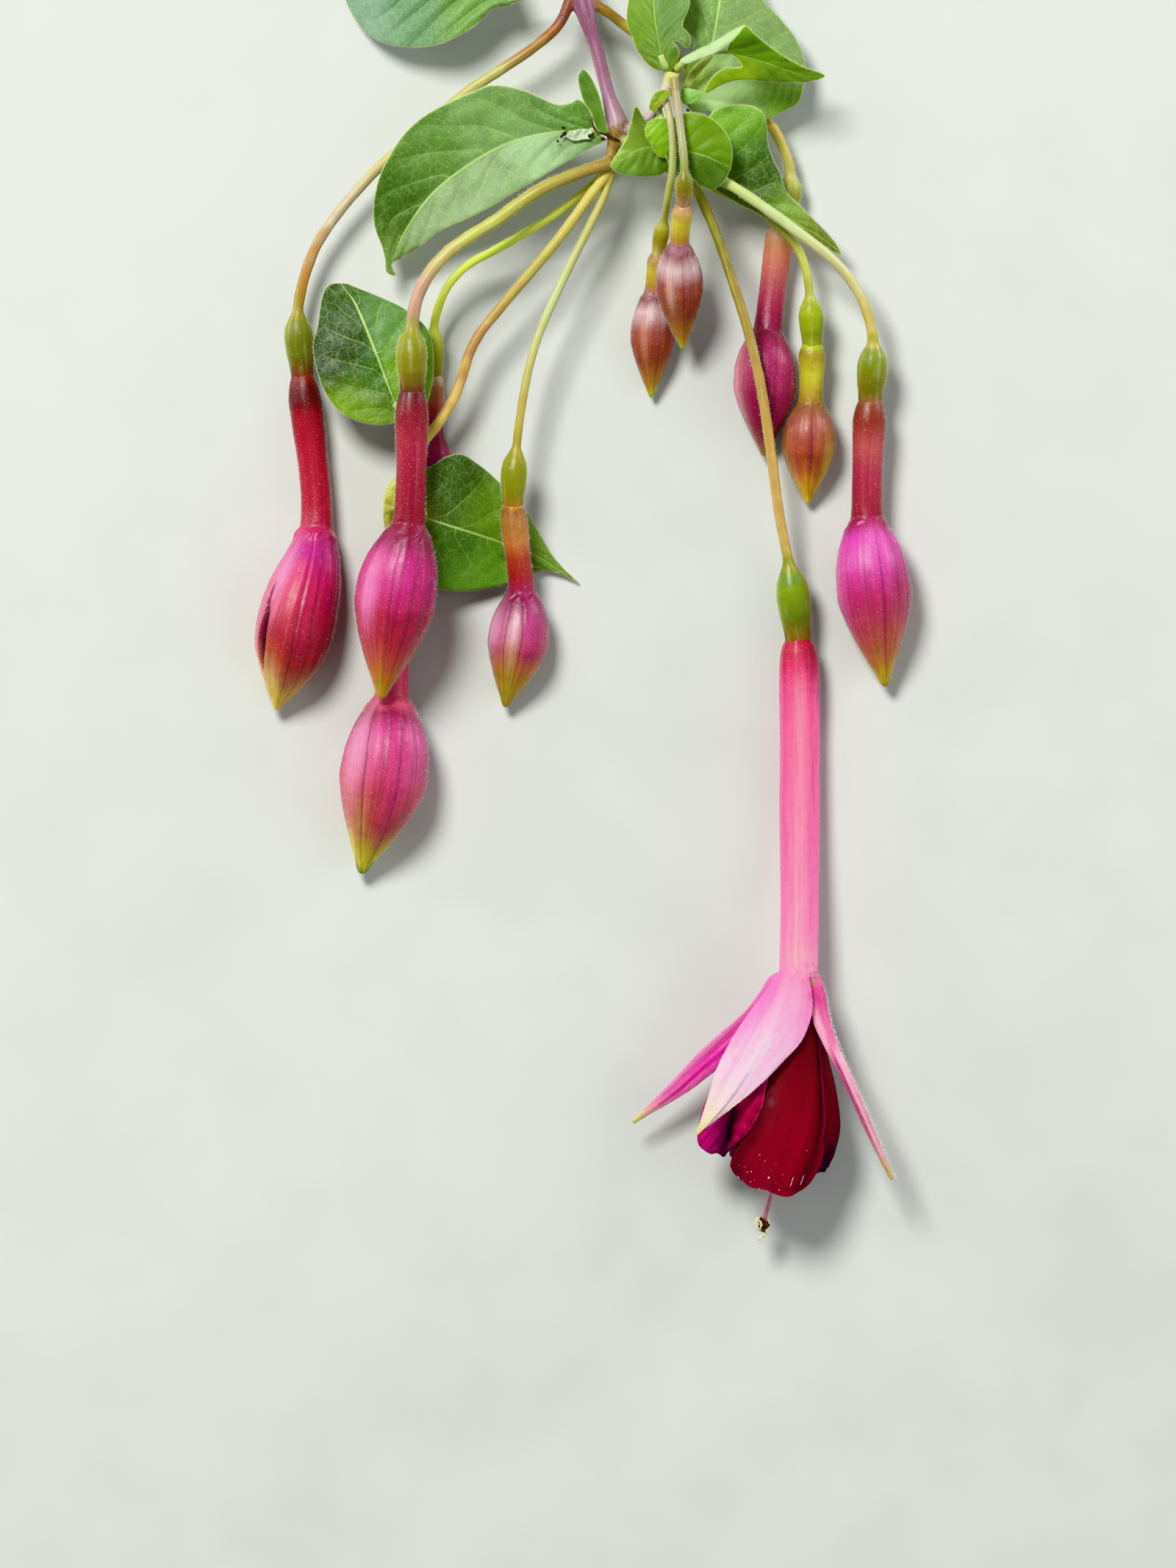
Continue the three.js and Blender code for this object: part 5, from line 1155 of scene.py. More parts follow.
def bud_tint(k, t, a, stops, patches, among, strength, name, seed):
    """Colours of a bud at shares k and t of the ways from throat to tip and from neck to throat."""
    x = np.where(k < 0, t - 1, k)
    x = x + 0.03 * waves(seed + 7, a * 5) * bell(x, 0.1)
    bulb = smoothstep(x, 0.2, 0.6)
    ragged = bulb * 0.06 * waves(seed + 3, a * 2.4) + 0.03 * waves(seed + 4, a * 5) * (0.3 + bulb)
    colour = gradient(stops, x + ragged)
    for angle, middle, wide, tall, paint, share in patches:
        near = bell(a - math.radians(angle), math.radians(wide)) * bell(k - middle, tall)
        colour = toward(colour, paint, share * near)
    shade = 0.16 * bell(to_whole(among), 0.2) * strength * smoothstep(k, 0.02, 0.15)
    shade = shade + 0.07 * waves(seed + 6, a * 7, k * 2)
    colour = colour * (1 - shade)[..., None]
    # Inside the far left bud's gap the colour turns nearly black: painted shade of the hollow behind it.
    if name == "far_left":
        colour = toward(colour, "12020a", opening_of(k, a) ** 0.5)
    return np.clip(colour, 0, 1)


def bud_piece(name, spec, seed):
    """A closed bud, its stalk and the hairs on both."""
    path = bud_path(spec)
    stops, stalk_stops, lined, patches = BUD_PAINT[name]
    n = len(spec["stalk"])
    marks = neck, throat, tip = path.marks[n], path.marks[n + 1], path.marks[n + 3]
    lines = BudLines(name)
    shares = lambda s: ((s - throat) / (tip - throat), (s - neck) / (throat - neck))

    def tint(s, a):
        k, t = shares(s)
        return bud_tint(k, t, a, stops, patches, *lines.at(k, a), name, seed)

    def shown(s, a):
        k = shares(s)[0]
        strength = lines.at(k, a)[1] * smoothstep(k, -0.02, 0.08) * (1 - 0.4 * smoothstep(k, 0.85, 1))
        return together(lined * strength * smoothstep(k, -0.01, 0.05), smoothstep(k, 0.01, -0.03), 0)

    def flow(s, a):
        k, t = shares(s)
        return lines.at(k, a)[0], np.where(k < 0, t - 1, k)

    s = np.concatenate([np.arange(neck - 0.2, throat - 0.8, 0.45),
                        np.arange(throat - 0.8, throat + 1.6, 0.12),
                        np.arange(throat + 1.6, tip - 1.5, 0.3), np.linspace(tip - 1.5, tip, 12)])
    form = Form()
    sides = FINE_BUD_SIDES if name == "far_left" else BUD_SIDES
    body = lathe(form, path, s, even_angles(sides),
                 lambda s, a: bud_radius(s, a, marks, spec, lines, name, seed), tint, flow, shown)
    slot = "young_bud" if spec["radii"][3] < 4.2 else "ripe_bud"
    form.build(f"{name}_bud_skin", BUD_SKIN, slot, [f"bud_{name}"])
    stalk = stalk_piece(name, path, spec, stalk_stops, "stalk", seed + 40)
    down = Form()
    rng = np.random.default_rng(seed)
    add_down(down, *body, *HAIRS["bud"], rng)
    add_down(down, *stalk, *HAIRS["bud_stalk"], rng)
    down.build(f"{name}_down", DOWN, slot)


def surface_area(points, faces):
    a, b, c = corners_of(points, triangles_of(faces))
    return np.linalg.norm(np.cross(b - a, c - a), axis=1).sum() / 2


def add_down(form, points, faces, colour, dense, long, rng, keep=None, thick=0.021):
    """Hairs over a surface, dense per square millimetre and about long millimetres, sparser on top."""
    count = int(surface_area(points, faces) * dense)
    roots, ways, near = scatter(points, faces, count, rng, keep)
    stays = rng.random(count) < 1 - 0.97 * smoothstep(np.abs(ways[:, 2]), 0.2, 0.6)
    roots, ways, near = roots[stays], ways[stays], near[stays]
    pale = 0.75 - 0.55 * smoothstep(np.abs(ways[:, 2]), 0.2, 0.7)[:, None]
    tint = PALE_DOWN * pale + colour[near] * (1 - pale)
    hairs(form, roots, ways, long * rng.uniform(0.6, 1.25, len(roots)), thick, tint, rng)


for number, (bud_name, bud_spec) in enumerate(BUDS.items()):
    bud_piece(bud_name, bud_spec, 100 + 7 * number)

# ---------------------------------------------------------------- stem

STEM_PAINT = {
    "main": {0: "683c5c", 12: "744460", 24: "805068", 30: "885870", 34: "946a80", 38: "a08488",
             39.2: "8c6450", 40.5: "94743c"},
    "side": {0: "946478", 3: "a48c90", 7: "b8a8a4", 11: "c0b0a4", 13: "b8bc68", 15: "b8c848"},
    "twig": {0: "b09a50", 8: "a8a840", 60: "a8b040"},
}


def flower_path():
    return Path([*FLOWER["stalk"], FLOWER["neck"], *FLOWER["tube"]])


# The node with brown scars round it, where most of the stalks start.
SECOND_NODE = [841, 180, 11]


def stem_piece():
    """The stem, its side axis, a twig and the roots of all stalks, grown together."""
    draft = Form()
    lengthwise = lambda s, a: together(np.cos(a) * 2.2, s, 0)
    for number, (part, spec) in enumerate(STEM.items()):
        path = Path(spec["path"])
        knots = np.column_stack([path.marks, spec["radii"]])
        lathe(draft, path, np.arange(0, path.length, 0.3), even_angles(24),
              lambda s, a: flowing(knots, s) * (1 + 0.04 * waves(number, s * 0.9, a) + 0.02 * np.cos(4 * a)),
              lambda s, a: gradient(STEM_PAINT[part], s + 1.2 * waves(3, s, a)), None, lengthwise)
    roots = [(bud_path(spec), spec, BUD_PAINT[name][1]) for name, spec in BUDS.items()]
    roots.append((flower_path(), FLOWER, FLOWER_STALK))
    for path, spec, stops in roots:
        end = spec["root"]
        lathe(draft, path, np.arange(0, end + 0.3, 0.3), even_angles(16),
              lambda s, a: spec["radii"][0] * (1.22 - 0.2 * np.clip(s / end, 0, 1)),
              lambda s, a: gradient(stops, s * 0 + 0.03), None, lengthwise)
    points, quads, tint, marks = draft.fused()
    from_node = np.linalg.norm(points - place(SECOND_NODE), axis=1)
    patchy = waves(8, points[:, 0] * 4, points[:, 1] * 4) > 0.35
    tint = toward(tint, "6a4438", 0.6 * (bell(from_node - 1.7, 0.5) * patchy))
    form = Form().add(points, [quads], tint, [marks[quads][..., :2]])
    form.build("stem_skin", STALK_SKIN, "stem", ["stem"])
    down = Form()
    add_down(down, points, quads, tint, *HAIRS["stem"], np.random.default_rng(5))
    down.build("stem_down", DOWN, "stem")


stem_piece()

# ---------------------------------------------------------------- leaves

LEAF_SKIN = leaf_skin("leaf_skin", "a8c870", "c4d8b0")
YOUNG_LEAF_SKIN = leaf_skin("young_leaf_skin", "c4da78", "d0e4a8", young=True)
# Thicknesses in millimetres of a leaf, of its folded parts and the left petal's lobes, and of the
# withered scrap; then the size of their triangles in pixels.
LEAF_THICK, FLAP_THICK, SCRAP_THICK = 0.3, 0.2, 0.14
LEAF_STEP, FINE_STEP, SCRAP_STEP = 2.6, 1.6, 1.4
# A side of a blade that isn't drawn towards the tip, and how many points are measured at a time.
NO_LEAN = [0, 0]
CHUNK = 2000


def blade(spec, u, v):
    """A blade's surface: u from root to tip, v from -1 at its left margin to 1 at its right one."""
    path = Path(spec["rib"])
    centre, along, side, _ = path.frames(u * path.length)
    share = np.abs(v)
    level = unit(along * [1, 1, 0])
    halves = []
    for width, rise, *lean in (spec["left"], spec["right"]):
        lean = lean[0] if lean else NO_LEAN
        halves.append([smooth(width, u) * MM_PER_PX, smooth(rise, u), smooth(lean, u) * MM_PER_PX])
    width, rise, lean = (np.where(v < 0, a, b) for a, b in zip(*halves))
    return (centre + side * (np.sign(v) * width * share)[..., None]
            + level * (lean * share * share)[..., None] + UP * (rise * share ** 1.4)[..., None])


def inside(xy, loop):
    """Which points lie inside a closed loop."""
    x, y = xy[:, :1], xy[:, 1:]
    x0, y0 = loop[None, :, 0], loop[None, :, 1]
    x1, y1 = np.roll(x0, -1, 1), np.roll(y0, -1, 1)
    crossing = ((y0 > y) != (y1 > y)) & (x < (x1 - x0) * (y - y0) / np.where(y1 == y0, 1e-9, y1 - y0) + x0)
    return crossing.sum(1) % 2 == 1


def in_chunks(measure, xy):
    """A measure of many points, taken of some of them at a time to save memory."""
    return np.concatenate([measure(xy[k:k + CHUNK]) for k in range(0, len(xy), CHUNK)])


def distance_to(xy, loop):
    """Distance of points to a closed loop of close points."""
    return in_chunks(lambda part: np.sqrt(((part[:, None] - loop[None]) ** 2).sum(-1)).min(1), xy)


def fill(outline, step):
    """Triangles that fill a closed outline in pixels: points, triangles, how many points are on the
    rim, and how far each is from it in millimetres."""
    line, _ = through([p[:2] for p in outline], 40, closed=True)
    wrapped = np.vstack([line, line[:1]])
    lengths = np.concatenate([[0], np.cumsum(np.linalg.norm(np.diff(wrapped, axis=0), axis=1))])
    count = int(lengths[-1] / step)
    at = np.linspace(0, lengths[-1], count, endpoint=False)
    rim = np.stack([np.interp(at, lengths, wrapped[:, k]) for k in (0, 1)], -1)
    low, high = rim.min(0), rim.max(0)
    x, y = np.meshgrid(np.arange(low[0], high[0], step), np.arange(low[1], high[1], step * 0.866))
    x[1::2] += step / 2
    inner = np.stack([x.ravel(), y.ravel()], -1)
    inner = inner[inside(inner, rim)]
    inner = inner[distance_to(inner, rim) > step * 0.6]
    points = np.vstack([rim, inner])
    made = delaunay_2d_cdt([Vector(p) for p in points], [], [list(range(count))], 1, 1e-4)
    points = np.array([tuple(p) for p in made[0]])
    return points, np.array(made[2]), count, distance_to(points, points[:count]) * MM_PER_PX


def leaf_places(spec, xy):
    """Where points in pixels lie on a leaf's blade: share of the way, share across, and height."""
    U, V = grid(np.linspace(0, 1, 49), np.linspace(-1.2, 1.2, 29))
    samples = blade(spec, U.ravel(), V.ravel())
    values = together(U.ravel(), V.ravel(), samples[:, 2])
    flat = place(np.column_stack([xy, np.zeros(len(xy))]))[:, :2]
    far = lambda part: ((part[:, None] - samples[None, :, :2]) ** 2).sum(-1)
    return in_chunks(lambda part: mean_nearby(far(part), values, 0.45), flat)


# Relief of each leaf: number of side veins, how far they lean towards the tip, depth of the
# quilting between them and of the waves along the margin, in millimetres.
LEAF_RELIEF = {
    "top_left": (7, 0.26, 0.55, 0.4), "left": (7, 0.3, 0.24, 0.3), "low_left": (5, 0.34, 0.2, 0.25),
    "low_middle": (5, 0.34, 0.26, 0.3), "top_centre": (6, 0.3, 0.3, 0.3), "top_right": (7, 0.26, 0.3, 0.3),
    "tip_right": (6, 0.3, 0.2, 0.25), "centre_round": (5, 0.3, 0.22, 0.25),
    "centre_folded": (5, 0.3, 0.22, 0.25), "right": (7, 0.3, 0.28, 0.3),
    "beside_stem": (4, 0.3, 0.1, 0.1), "beside_fork": (3, 0.3, 0.1, 0.1),
}


def cut_sheet(form, xy, triangles, rim_count, z, thick, tint, under, flow, marks):
    """Adds a thin sheet over a filled outline, and gives back its points, triangles and rim."""
    points = place(np.column_stack([xy, z]))
    a, b, c = corners_of(points, triangles)
    if np.cross(b - a, c - a)[:, 2].sum() < 0:
        triangles = triangles[:, ::-1]
    rim = np.arange(rim_count)
    x, y = points[rim, 0], points[rim, 1]
    if np.sum(x * np.roll(y, -1) - np.roll(x, -1) * y) < 0:
        rim = rim[::-1]
    thin_sheet(form, points, triangles, rim, thick, tint, under, flow, marks)
    return points, triangles, points[rim]


def leaf_piece(name, spec, seed, kind="leaf", step=LEAF_STEP):
    """A leaf: its blade over the measured outline, veined and quilted, with its stalk and rib."""
    young = name in YOUNG_LEAVES
    skin = YOUNG_LEAF_SKIN if young else LEAF_SKIN
    slot = "young_leaf" if young else "leaf"
    veins, lean, quilt, wavy = LEAF_RELIEF[name]
    xy, triangles, rim_count, to_rim = fill(spec["outline"], step)
    u, v, z = leaf_places(spec, xy).T
    share = np.minimum(np.abs(v), 1)
    q = veins * (u - lean * share ** 0.85) + 0.24 * np.clip(v / 0.12, -1, 1)
    q = q + 0.06 * waves(seed, u * 9, v * 4)
    fade = smoothstep(share, 0.03, 0.25) * (1 - 0.75 * share ** 4)
    relief = quilt * fade * (np.minimum(to_whole(q) * 2.6, 1) ** 0.7 - 0.6)
    relief -= 0.5 * quilt * bell(v, 0.07)
    uneven = 0.1 * waves(seed + 1, xy[:, 0] / 12, xy[:, 1] / 12)
    relief += wavy * share ** 3 * np.sin(u * 15 + seed) + uneven
    spots = np.array([s[:2] for s in LEAF_COLOUR_AND_LIGHT[name]], float)
    spot_side = leaf_places(spec, spots)[:, 1]
    # The tint holds the leaf's colours together with its painted shade and painted highlights.
    tint = blend_spots(LEAF_COLOUR_AND_LIGHT[name], xy, 24, v, spot_side)
    under = tint * 0.62 + one("a8c890") * 0.38
    marks = together(share, to_rim, 0)
    flow = together(q, v * np.interp(u, [0, 1], [6, 3]))
    thick = LEAF_THICK * (0.35 + 0.65 * smoothstep(to_rim, 0, 0.5))
    form = Form()
    points, triangles, rim = cut_sheet(form, xy, triangles, rim_count, z + relief, thick, tint, under,
                                       flow, marks)
    add_rib(form, spec, tint.mean(0))
    down = Form()
    rng = np.random.default_rng(seed)
    margin_down(down, rim, rng)
    add_down(down, points, triangles, tint, *HAIRS["leaf"], rng)
    for k, part in enumerate(FLAPS.get(name, [])):
        flap(form, down, part, seed + 3 + k)
    form.build(f"{kind}_{name}_skin", skin, slot, [f"{kind}_{name}"])
    down.build(f"{kind}_{name}_down", DOWN, slot)


def heights(xy, known):
    """Heights between known places [x, y, z], weighed by how near those are."""
    known = np.array(known, float)
    weight = 1 / (((xy[:, None] - known[None, :, :2]) ** 2).sum(-1) + 4) ** 1.5
    return (weight @ known[:, 2]) / weight.sum(1)


# Parts of leaves that fold over the rest: outline [x, y, z], how far the middle stands up, colour.
FLAPS = {
    "tip_right": [
        {"outline": [[925, 85, 15.4], [945, 72, 15.9], [965, 63, 16.3], [984, 52, 16.7], [997, 44, 17],
                     [1014, 37, 17.2], [1006, 47, 17.4], [997, 57, 17.3], [986, 68, 17], [965, 78, 16.6],
                     [948, 84, 16.2], [934, 89, 15.8]],
         "puff": 0.35, "colour": "b8d498"},
    ],
    "centre_folded": [
        {"outline": [[882, 168, 15], [888, 164, 15.3], [898, 163, 15.2], [909, 164, 14.9],
                     [911, 185, 14.9], [911, 206, 14.6], [905, 216, 14.4], [896, 214, 14.6],
                     [890, 207, 14.8], [885, 197, 15.1], [879, 187, 15.2], [878, 177, 15.2]],
         "puff": 0.35, "colour": "76a420"},
    ],
    "top_right": [
        {"outline": [[925, 124, 12.4], [933, 122, 12.6], [943, 123, 12.7], [954, 128, 12.6],
                     [950, 136, 12.5], [941, 142, 12.4], [931, 142, 12.3], [925, 134, 12.3]],
         "puff": 0.3, "colour": "86b85c"},
        {"outline": [[926, 127, 11.6], [931, 114, 11.8], [938, 101, 12], [946, 91, 12.2], [956, 81, 12.4],
                     [967, 72, 12.4], [970, 77, 12.3], [962, 88, 12.1], [953, 98, 12], [944, 110, 11.8],
                     [935, 124, 11.6]],
         "puff": 0.4, "colour": "8c9a48"},
        {"outline": [[903, 97, 13.2], [903, 90, 13.4], [907, 85, 13.6], [912, 87, 13.7], [914, 94, 13.7],
                     [913, 102, 13.4], [908, 105, 13.2]],
         "puff": 0.5, "colour": "c8cc34"},
        {"outline": [[913, 96, 13.8], [918, 89, 14], [926, 88, 14], [930, 94, 13.8], [926, 101, 13.6],
                     [918, 105, 13.5]],
         "puff": 0.5, "colour": "a4b43c"},
    ],
}


def flap(form, down, part, seed):
    """A free part of a leaf that lies over it."""
    outline = part["outline"]
    xy, triangles, rim_count, to_rim = fill(outline, FINE_STEP)
    z = heights(xy, outline) + part["puff"] * np.minimum(to_rim / 1.2, 1) ** 0.8
    z = z + 0.06 * waves(seed, xy[:, 0] / 4, xy[:, 1] / 4)
    tint = one(part["colour"]) * (0.86 + 0.14 * smoothstep(to_rim, 0, 0.8))[:, None]
    marks = together(0.5, to_rim, 0)
    flow = together(xy[:, 0] * 0.02 + 0.4, 1)
    made = cut_sheet(form, xy, triangles, rim_count, z, FLAP_THICK, tint, tint * 0.8, flow, marks)
    margin_down(down, made[2], np.random.default_rng(seed))


def add_rib(form, spec, colour):
    """The leaf's stalk, which runs on under the blade as its midrib."""
    if "stalk" not in spec:
        return
    pale = one("b8c878") * 0.7 + colour * 0.3
    for places, first, last, drop in ((spec["stalk"], 0.54, 0.46, 0), (spec["rib"], 0.4, 0.06, 0.42)):
        path = Path([[x, y, z - drop] for x, y, z in places])
        end = path.length * (1 if drop == 0 else 0.93)
        lathe(form, path, np.arange(0, end, 0.4), even_angles(12),
              lambda s, a: first + (last - first) * s / end,
              lambda s, a: np.broadcast_to(pale, (*s.shape, 3)), lambda s, a: (a * 0 + 0.5, a * 0 + 1.0),
              lambda s, a: together(0 * s, 2, 0))


# How many hairs stand on each edge of a leaf's margin.
MARGIN_ROUNDS = 2


def margin_down(form, rim, rng):
    """Short hairs along a leaf's margin, standing outwards."""
    after = np.roll(rim, -1, 0)
    outward = unit(np.cross(after - rim, UP))
    for _ in range(MARGIN_ROUNDS):
        along = rng.random((len(rim), 1))
        roots = rim + (after - rim) * along
        ways = outward + rng.normal(0, 0.3, outward.shape)
        hairs(form, roots, ways, rng.uniform(0.16, 0.36, len(rim)), 0.02, PALE_DOWN, rng)


for number, (leaf_name, leaf_spec) in enumerate(LEAVES.items()):
    leaf_piece(leaf_name, leaf_spec, 300 + 11 * number)
for number, (leaf_name, leaf_spec) in enumerate(LEAFLETS.items()):
    leaf_piece(leaf_name, leaf_spec, 500 + 11 * number, "leaflet", FINE_STEP)

# ---------------------------------------------------------------- open flower

CALYX_SKIN = petal_skin("calyx_skin", 0.2)
COROLLA_SKIN = corolla_skin()


def grid_sheet(form, points, thickness, tint, under, flow, marks):
    """Adds a thin closed sheet over a grid of points."""
    rows, columns = points.shape[:2]
    quads, _, _ = grid_faces(rows, columns, False)
    at = np.arange(rows * columns).reshape(rows, columns)
    rim = np.concatenate([at[0, :-1], at[:-1, -1], at[-1, :0:-1], at[:0:-1, 0]])
    flat = lambda x, n: np.broadcast_to(x, (rows, columns, n)).reshape(-1, n)
    thin_sheet(form, flat(points, 3), quads, rim[::-1], flat(thickness[..., None], 1)[:, 0], flat(tint, 3),
               flat(under, 3), flat(flow, 2), flat(marks, 3))
    return flat(points, 3), quads, flat(tint, 3)


def grid_normal(points):
    return unit(np.cross(np.gradient(points, axis=1), np.gradient(points, axis=0)))


# Half the angle that a sepal's foot takes of the tube, in degrees (the four feet overlap a little),
# and a sepal's thickness in millimetres.
SEPAL_HALF_ANGLE = 46
SEPAL_THICK = 0.5


def sepal(spec, path, seed):
    """The surface of a sepal that opens out of the tube's wall."""
    U, V = grid(np.linspace(0, 1, 80), np.linspace(-1, 1, 33))
    free = blade(spec, U.ravel(), V.ravel()).reshape(*U.shape, 3)
    throat = path.length
    s = throat - 2.2 + 4 * U
    centre, along, side, above = path.frames(np.minimum(s, throat))
    centre = centre + along * np.maximum(s - throat, 0)[..., None]
    angle = np.radians(spec["middle"]) - V * math.radians(SEPAL_HALF_ANGLE)
    r = (FLOWER["radii"][2] * (0.8 + 0.09 * smoothstep(U, 0, 0.05)))[..., None]
    wall = centre + (side * np.cos(angle)[..., None] + above * np.sin(angle)[..., None]) * r
    share = smoothstep(U, 0, spec["opens"])[..., None]
    points = wall * (1 - share) + free * share
    ridge = bell(V + 0.06 + 0.05 * np.sin(U * 9), 0.07)
    ridge = ridge * smoothstep(U, 0.2, 0.4) * (1 - smoothstep(U, 0.85, 1))
    furrow = bell(np.abs(V) - 0.36, 0.16) * smoothstep(U, 0.1, 0.35) * (1 - smoothstep(U, 0.8, 0.97))
    normal = grid_normal(points)
    normal = normal * np.sign((normal * (points - path.at(throat))).sum(-1).mean())
    wide = spec["right"][0][2] / 36
    lift = wide * (0.26 * ridge - 0.2 * furrow + 0.12 * waves(seed, U * 7, V * 3))
    lift = lift + (spec is SEPALS["right"]) * 0.2 * bell(V, 0.16) * smoothstep(U, 0.15, 0.35)
    lift = lift + 0.16 * bell(U - 0.06, 0.035) * waves(seed + 1, V * 9)
    return U, V, points + normal * lift[..., None]


SEPAL_TINT = {
    "front": {0: "f480b4", 0.1: "f490c0", 0.2: "f6a6d0", 0.4: "f8c0e0", 0.65: "f8d0e6", 0.78: "f2d8d8",
              0.9: "eee0bc", 0.965: "dcd07c", 1: "c0bc50"},
    "left": {0: "f078c0", 0.12: "f05cbc", 0.3: "f040b0", 0.6: "f644b4", 0.8: "f064b0", 0.9: "e4a0a8",
             0.96: "d4c878", 1: "bcbc50"},
    "right": {0: "e05c98", 0.12: "cc3c80", 0.3: "d85894", 0.45: "d04488", 0.7: "d05088", 0.84: "d48490",
              0.92: "d0b47c", 1: "c0bc50"},
    "back": {0: "ea80b4", 0.5: "f098c4", 0.86: "ecc0c4", 1: "c0bc60"},
}


# Stains on the throat [x, y, lowest z]. The calyx is hairy above a band of y and right of a band of x.
THROAT_SPECK, THROAT_SHADE = [1107, 1336, 8], [1104, 1354, 7]
HAIRY_ABOVE, HAIRY_FROM = (1325, 1345), (1108, 1116)
# Sepals with hairs along a margin: its column of points, the last row, and how many rounds of hairs.
HAIRY_MARGINS = {"left": (-1, 50, 2), "right": (0, 80, 16)}


def calyx_tube(draft, path):
    """Adds the flower's tube."""
    neck, throat = path.marks[len(FLOWER["stalk"])], path.length
    _, ovary, tube = FLOWER["radii"]
    waist = ovary * OVARY_PROFILE[-1][1]
    knots = [[-0.2, waist * 0.9], [0, waist], [0.015, (waist + tube) * 0.48], [0.04, tube * 0.93],
             [0.09, tube * 1.01], [0.16, tube * 1.02], [0.3, tube], [0.5, tube * 1.02], [0.7, tube * 0.98],
             [0.9, tube * 0.97], [0.98, tube * 0.98], [1, tube * 0.84]]
    share = lambda s: (s - neck) / (throat - neck)

    def radius(s, a):
        ribs = 0.016 * np.cos(4 * a + 0.4) + 0.012 * np.cos(8 * a + 1)
        crumpled = 0.03 * smoothstep(share(s), 0.94, 0.98) * waves(24, a * 6, s * 3)
        return flowing(knots, share(s)) * (1 + ribs + 0.01 * waves(21, s * 0.5, a * 3)
                                           + 0.006 * np.cos(14 * a) + crumpled)

    def tint(s, a):
        t = share(s)
        colour = gradient(TUBE_TINT, t + 0.02 * waves(22, a * 4))
        # A pale band along the top of the tube: a painted highlight.
        top_highlight = bell(np.cos(a), 0.34) * (np.sin(a) > 0) * smoothstep(t, 0.05, 0.2)
        colour = toward(colour, "fca8b0", 0.5 * top_highlight)
        edge = smoothstep(np.abs(np.cos(a)), 0.55, 1)
        colour = toward(colour, "f462b4", 0.35 * edge * smoothstep(t, 0.08, 0.2))
        return colour * (1 - 0.08 * np.cos(8 * a + 1.2) * smoothstep(t, 0.02, 0.1))[..., None]

    s = np.concatenate([np.arange(neck - 0.3, neck + 2, 0.12), np.arange(neck + 2, throat, 0.4)])
    lathe(draft, path, s, even_angles(96), radius, tint, None,
          lambda s, a: together(np.cos(a) * 2 + 0.5, share(s) * 4, 0))


def front_sepal_colour(colour, U, V):
    """Flushed along both margins near the throat, with a painted highlight along the ridge down the middle.
    """
    flush = smoothstep(V, 0.1, 0.85) * smoothstep(U, 0.02, 0.15) * (1 - smoothstep(U, 0.35, 0.68))
    colour = toward(colour, "f05cc8", 0.7 * flush)
    flush = smoothstep(V, -0.5, -1) * (1 - smoothstep(U, 0.2, 0.5))
    colour = toward(colour, "f060b8", 0.6 * flush)
    # The pale line along the ridge is a painted highlight.
    return toward(colour, "fdeaf4", 0.6 * bell(V + 0.12, 0.16) * smoothstep(U, 0.3, 0.5))


def left_sepal_colour(colour, U, V):
    """Pale along one side, a painted highlight where the upper margin catches the light, and finely mottled
    on the other.
    """
    # The pale band along the upper margin is a painted highlight.
    pale = smoothstep(V, 0.3, 0.8) * (1 - smoothstep(U, 0.8, 0.95))
    colour = toward(colour, "fa9cd0", 0.6 * pale)
    cells = smoothstep(waves(45, U * 90, V * 26), 0.1, 0.7) * smoothstep(-V, -0.1, 0.3) * (U < 0.85)
    return toward(colour, "cc1c90", 0.45 * cells)


def right_sepal_colour(colour, U, V):
    """Pale on the side that catches the light, which changes where the sepal twists."""
    twisted = smoothstep(U, 0.32, 0.42)
    after = smoothstep(V, 0.15, -0.1) * (1 - smoothstep(U, 0.85, 0.97))
    pale = ((1 - twisted) * bell(V - 0.5, 0.4) + twisted * after) * smoothstep(U, 0.14, 0.22)
    return toward(colour, "f8bcd0", 0.85 * pale)


SEPAL_DETAIL = {"front": front_sepal_colour, "left": left_sepal_colour, "right": right_sepal_colour}


def sepal_colour(name, U, V):
    """Colours of a sepal's upper face, with pale margins and a darker streak to each side."""
    colour = gradient(SEPAL_TINT[name], U + 0.03 * waves(31, V * 5, U * 4))
    colour = toward(colour, "fbd0e6", 0.4 * (np.abs(V) ** 3 * smoothstep(U, 0.2, 0.4)))
    streak = bell(np.abs(V) - 0.5, 0.12) * smoothstep(U, 0.08, 0.25) * (1 - smoothstep(U, 0.6, 0.85))
    colour = toward(colour, "e07cba", 0.3 * streak)
    return SEPAL_DETAIL[name](colour, U, V) if name in SEPAL_DETAIL else colour


def stained_throat(points, tints):
    """Paints the throat's brown speck and the pink shade beside it."""
    from_speck, from_shade = (np.linalg.norm(points[:, :2] - place(at)[:2], axis=1)
                              for at in (THROAT_SPECK, THROAT_SHADE))
    brown = bell(from_speck, 0.42) * (points[:, 2] > THROAT_SPECK[2])
    tints = toward(tints, "a88c28", np.minimum(brown, 1))
    shade = bell(from_shade, 0.8) * (points[:, 2] > THROAT_SHADE[2])
    return toward(tints, "c83488", 0.6 * shade)


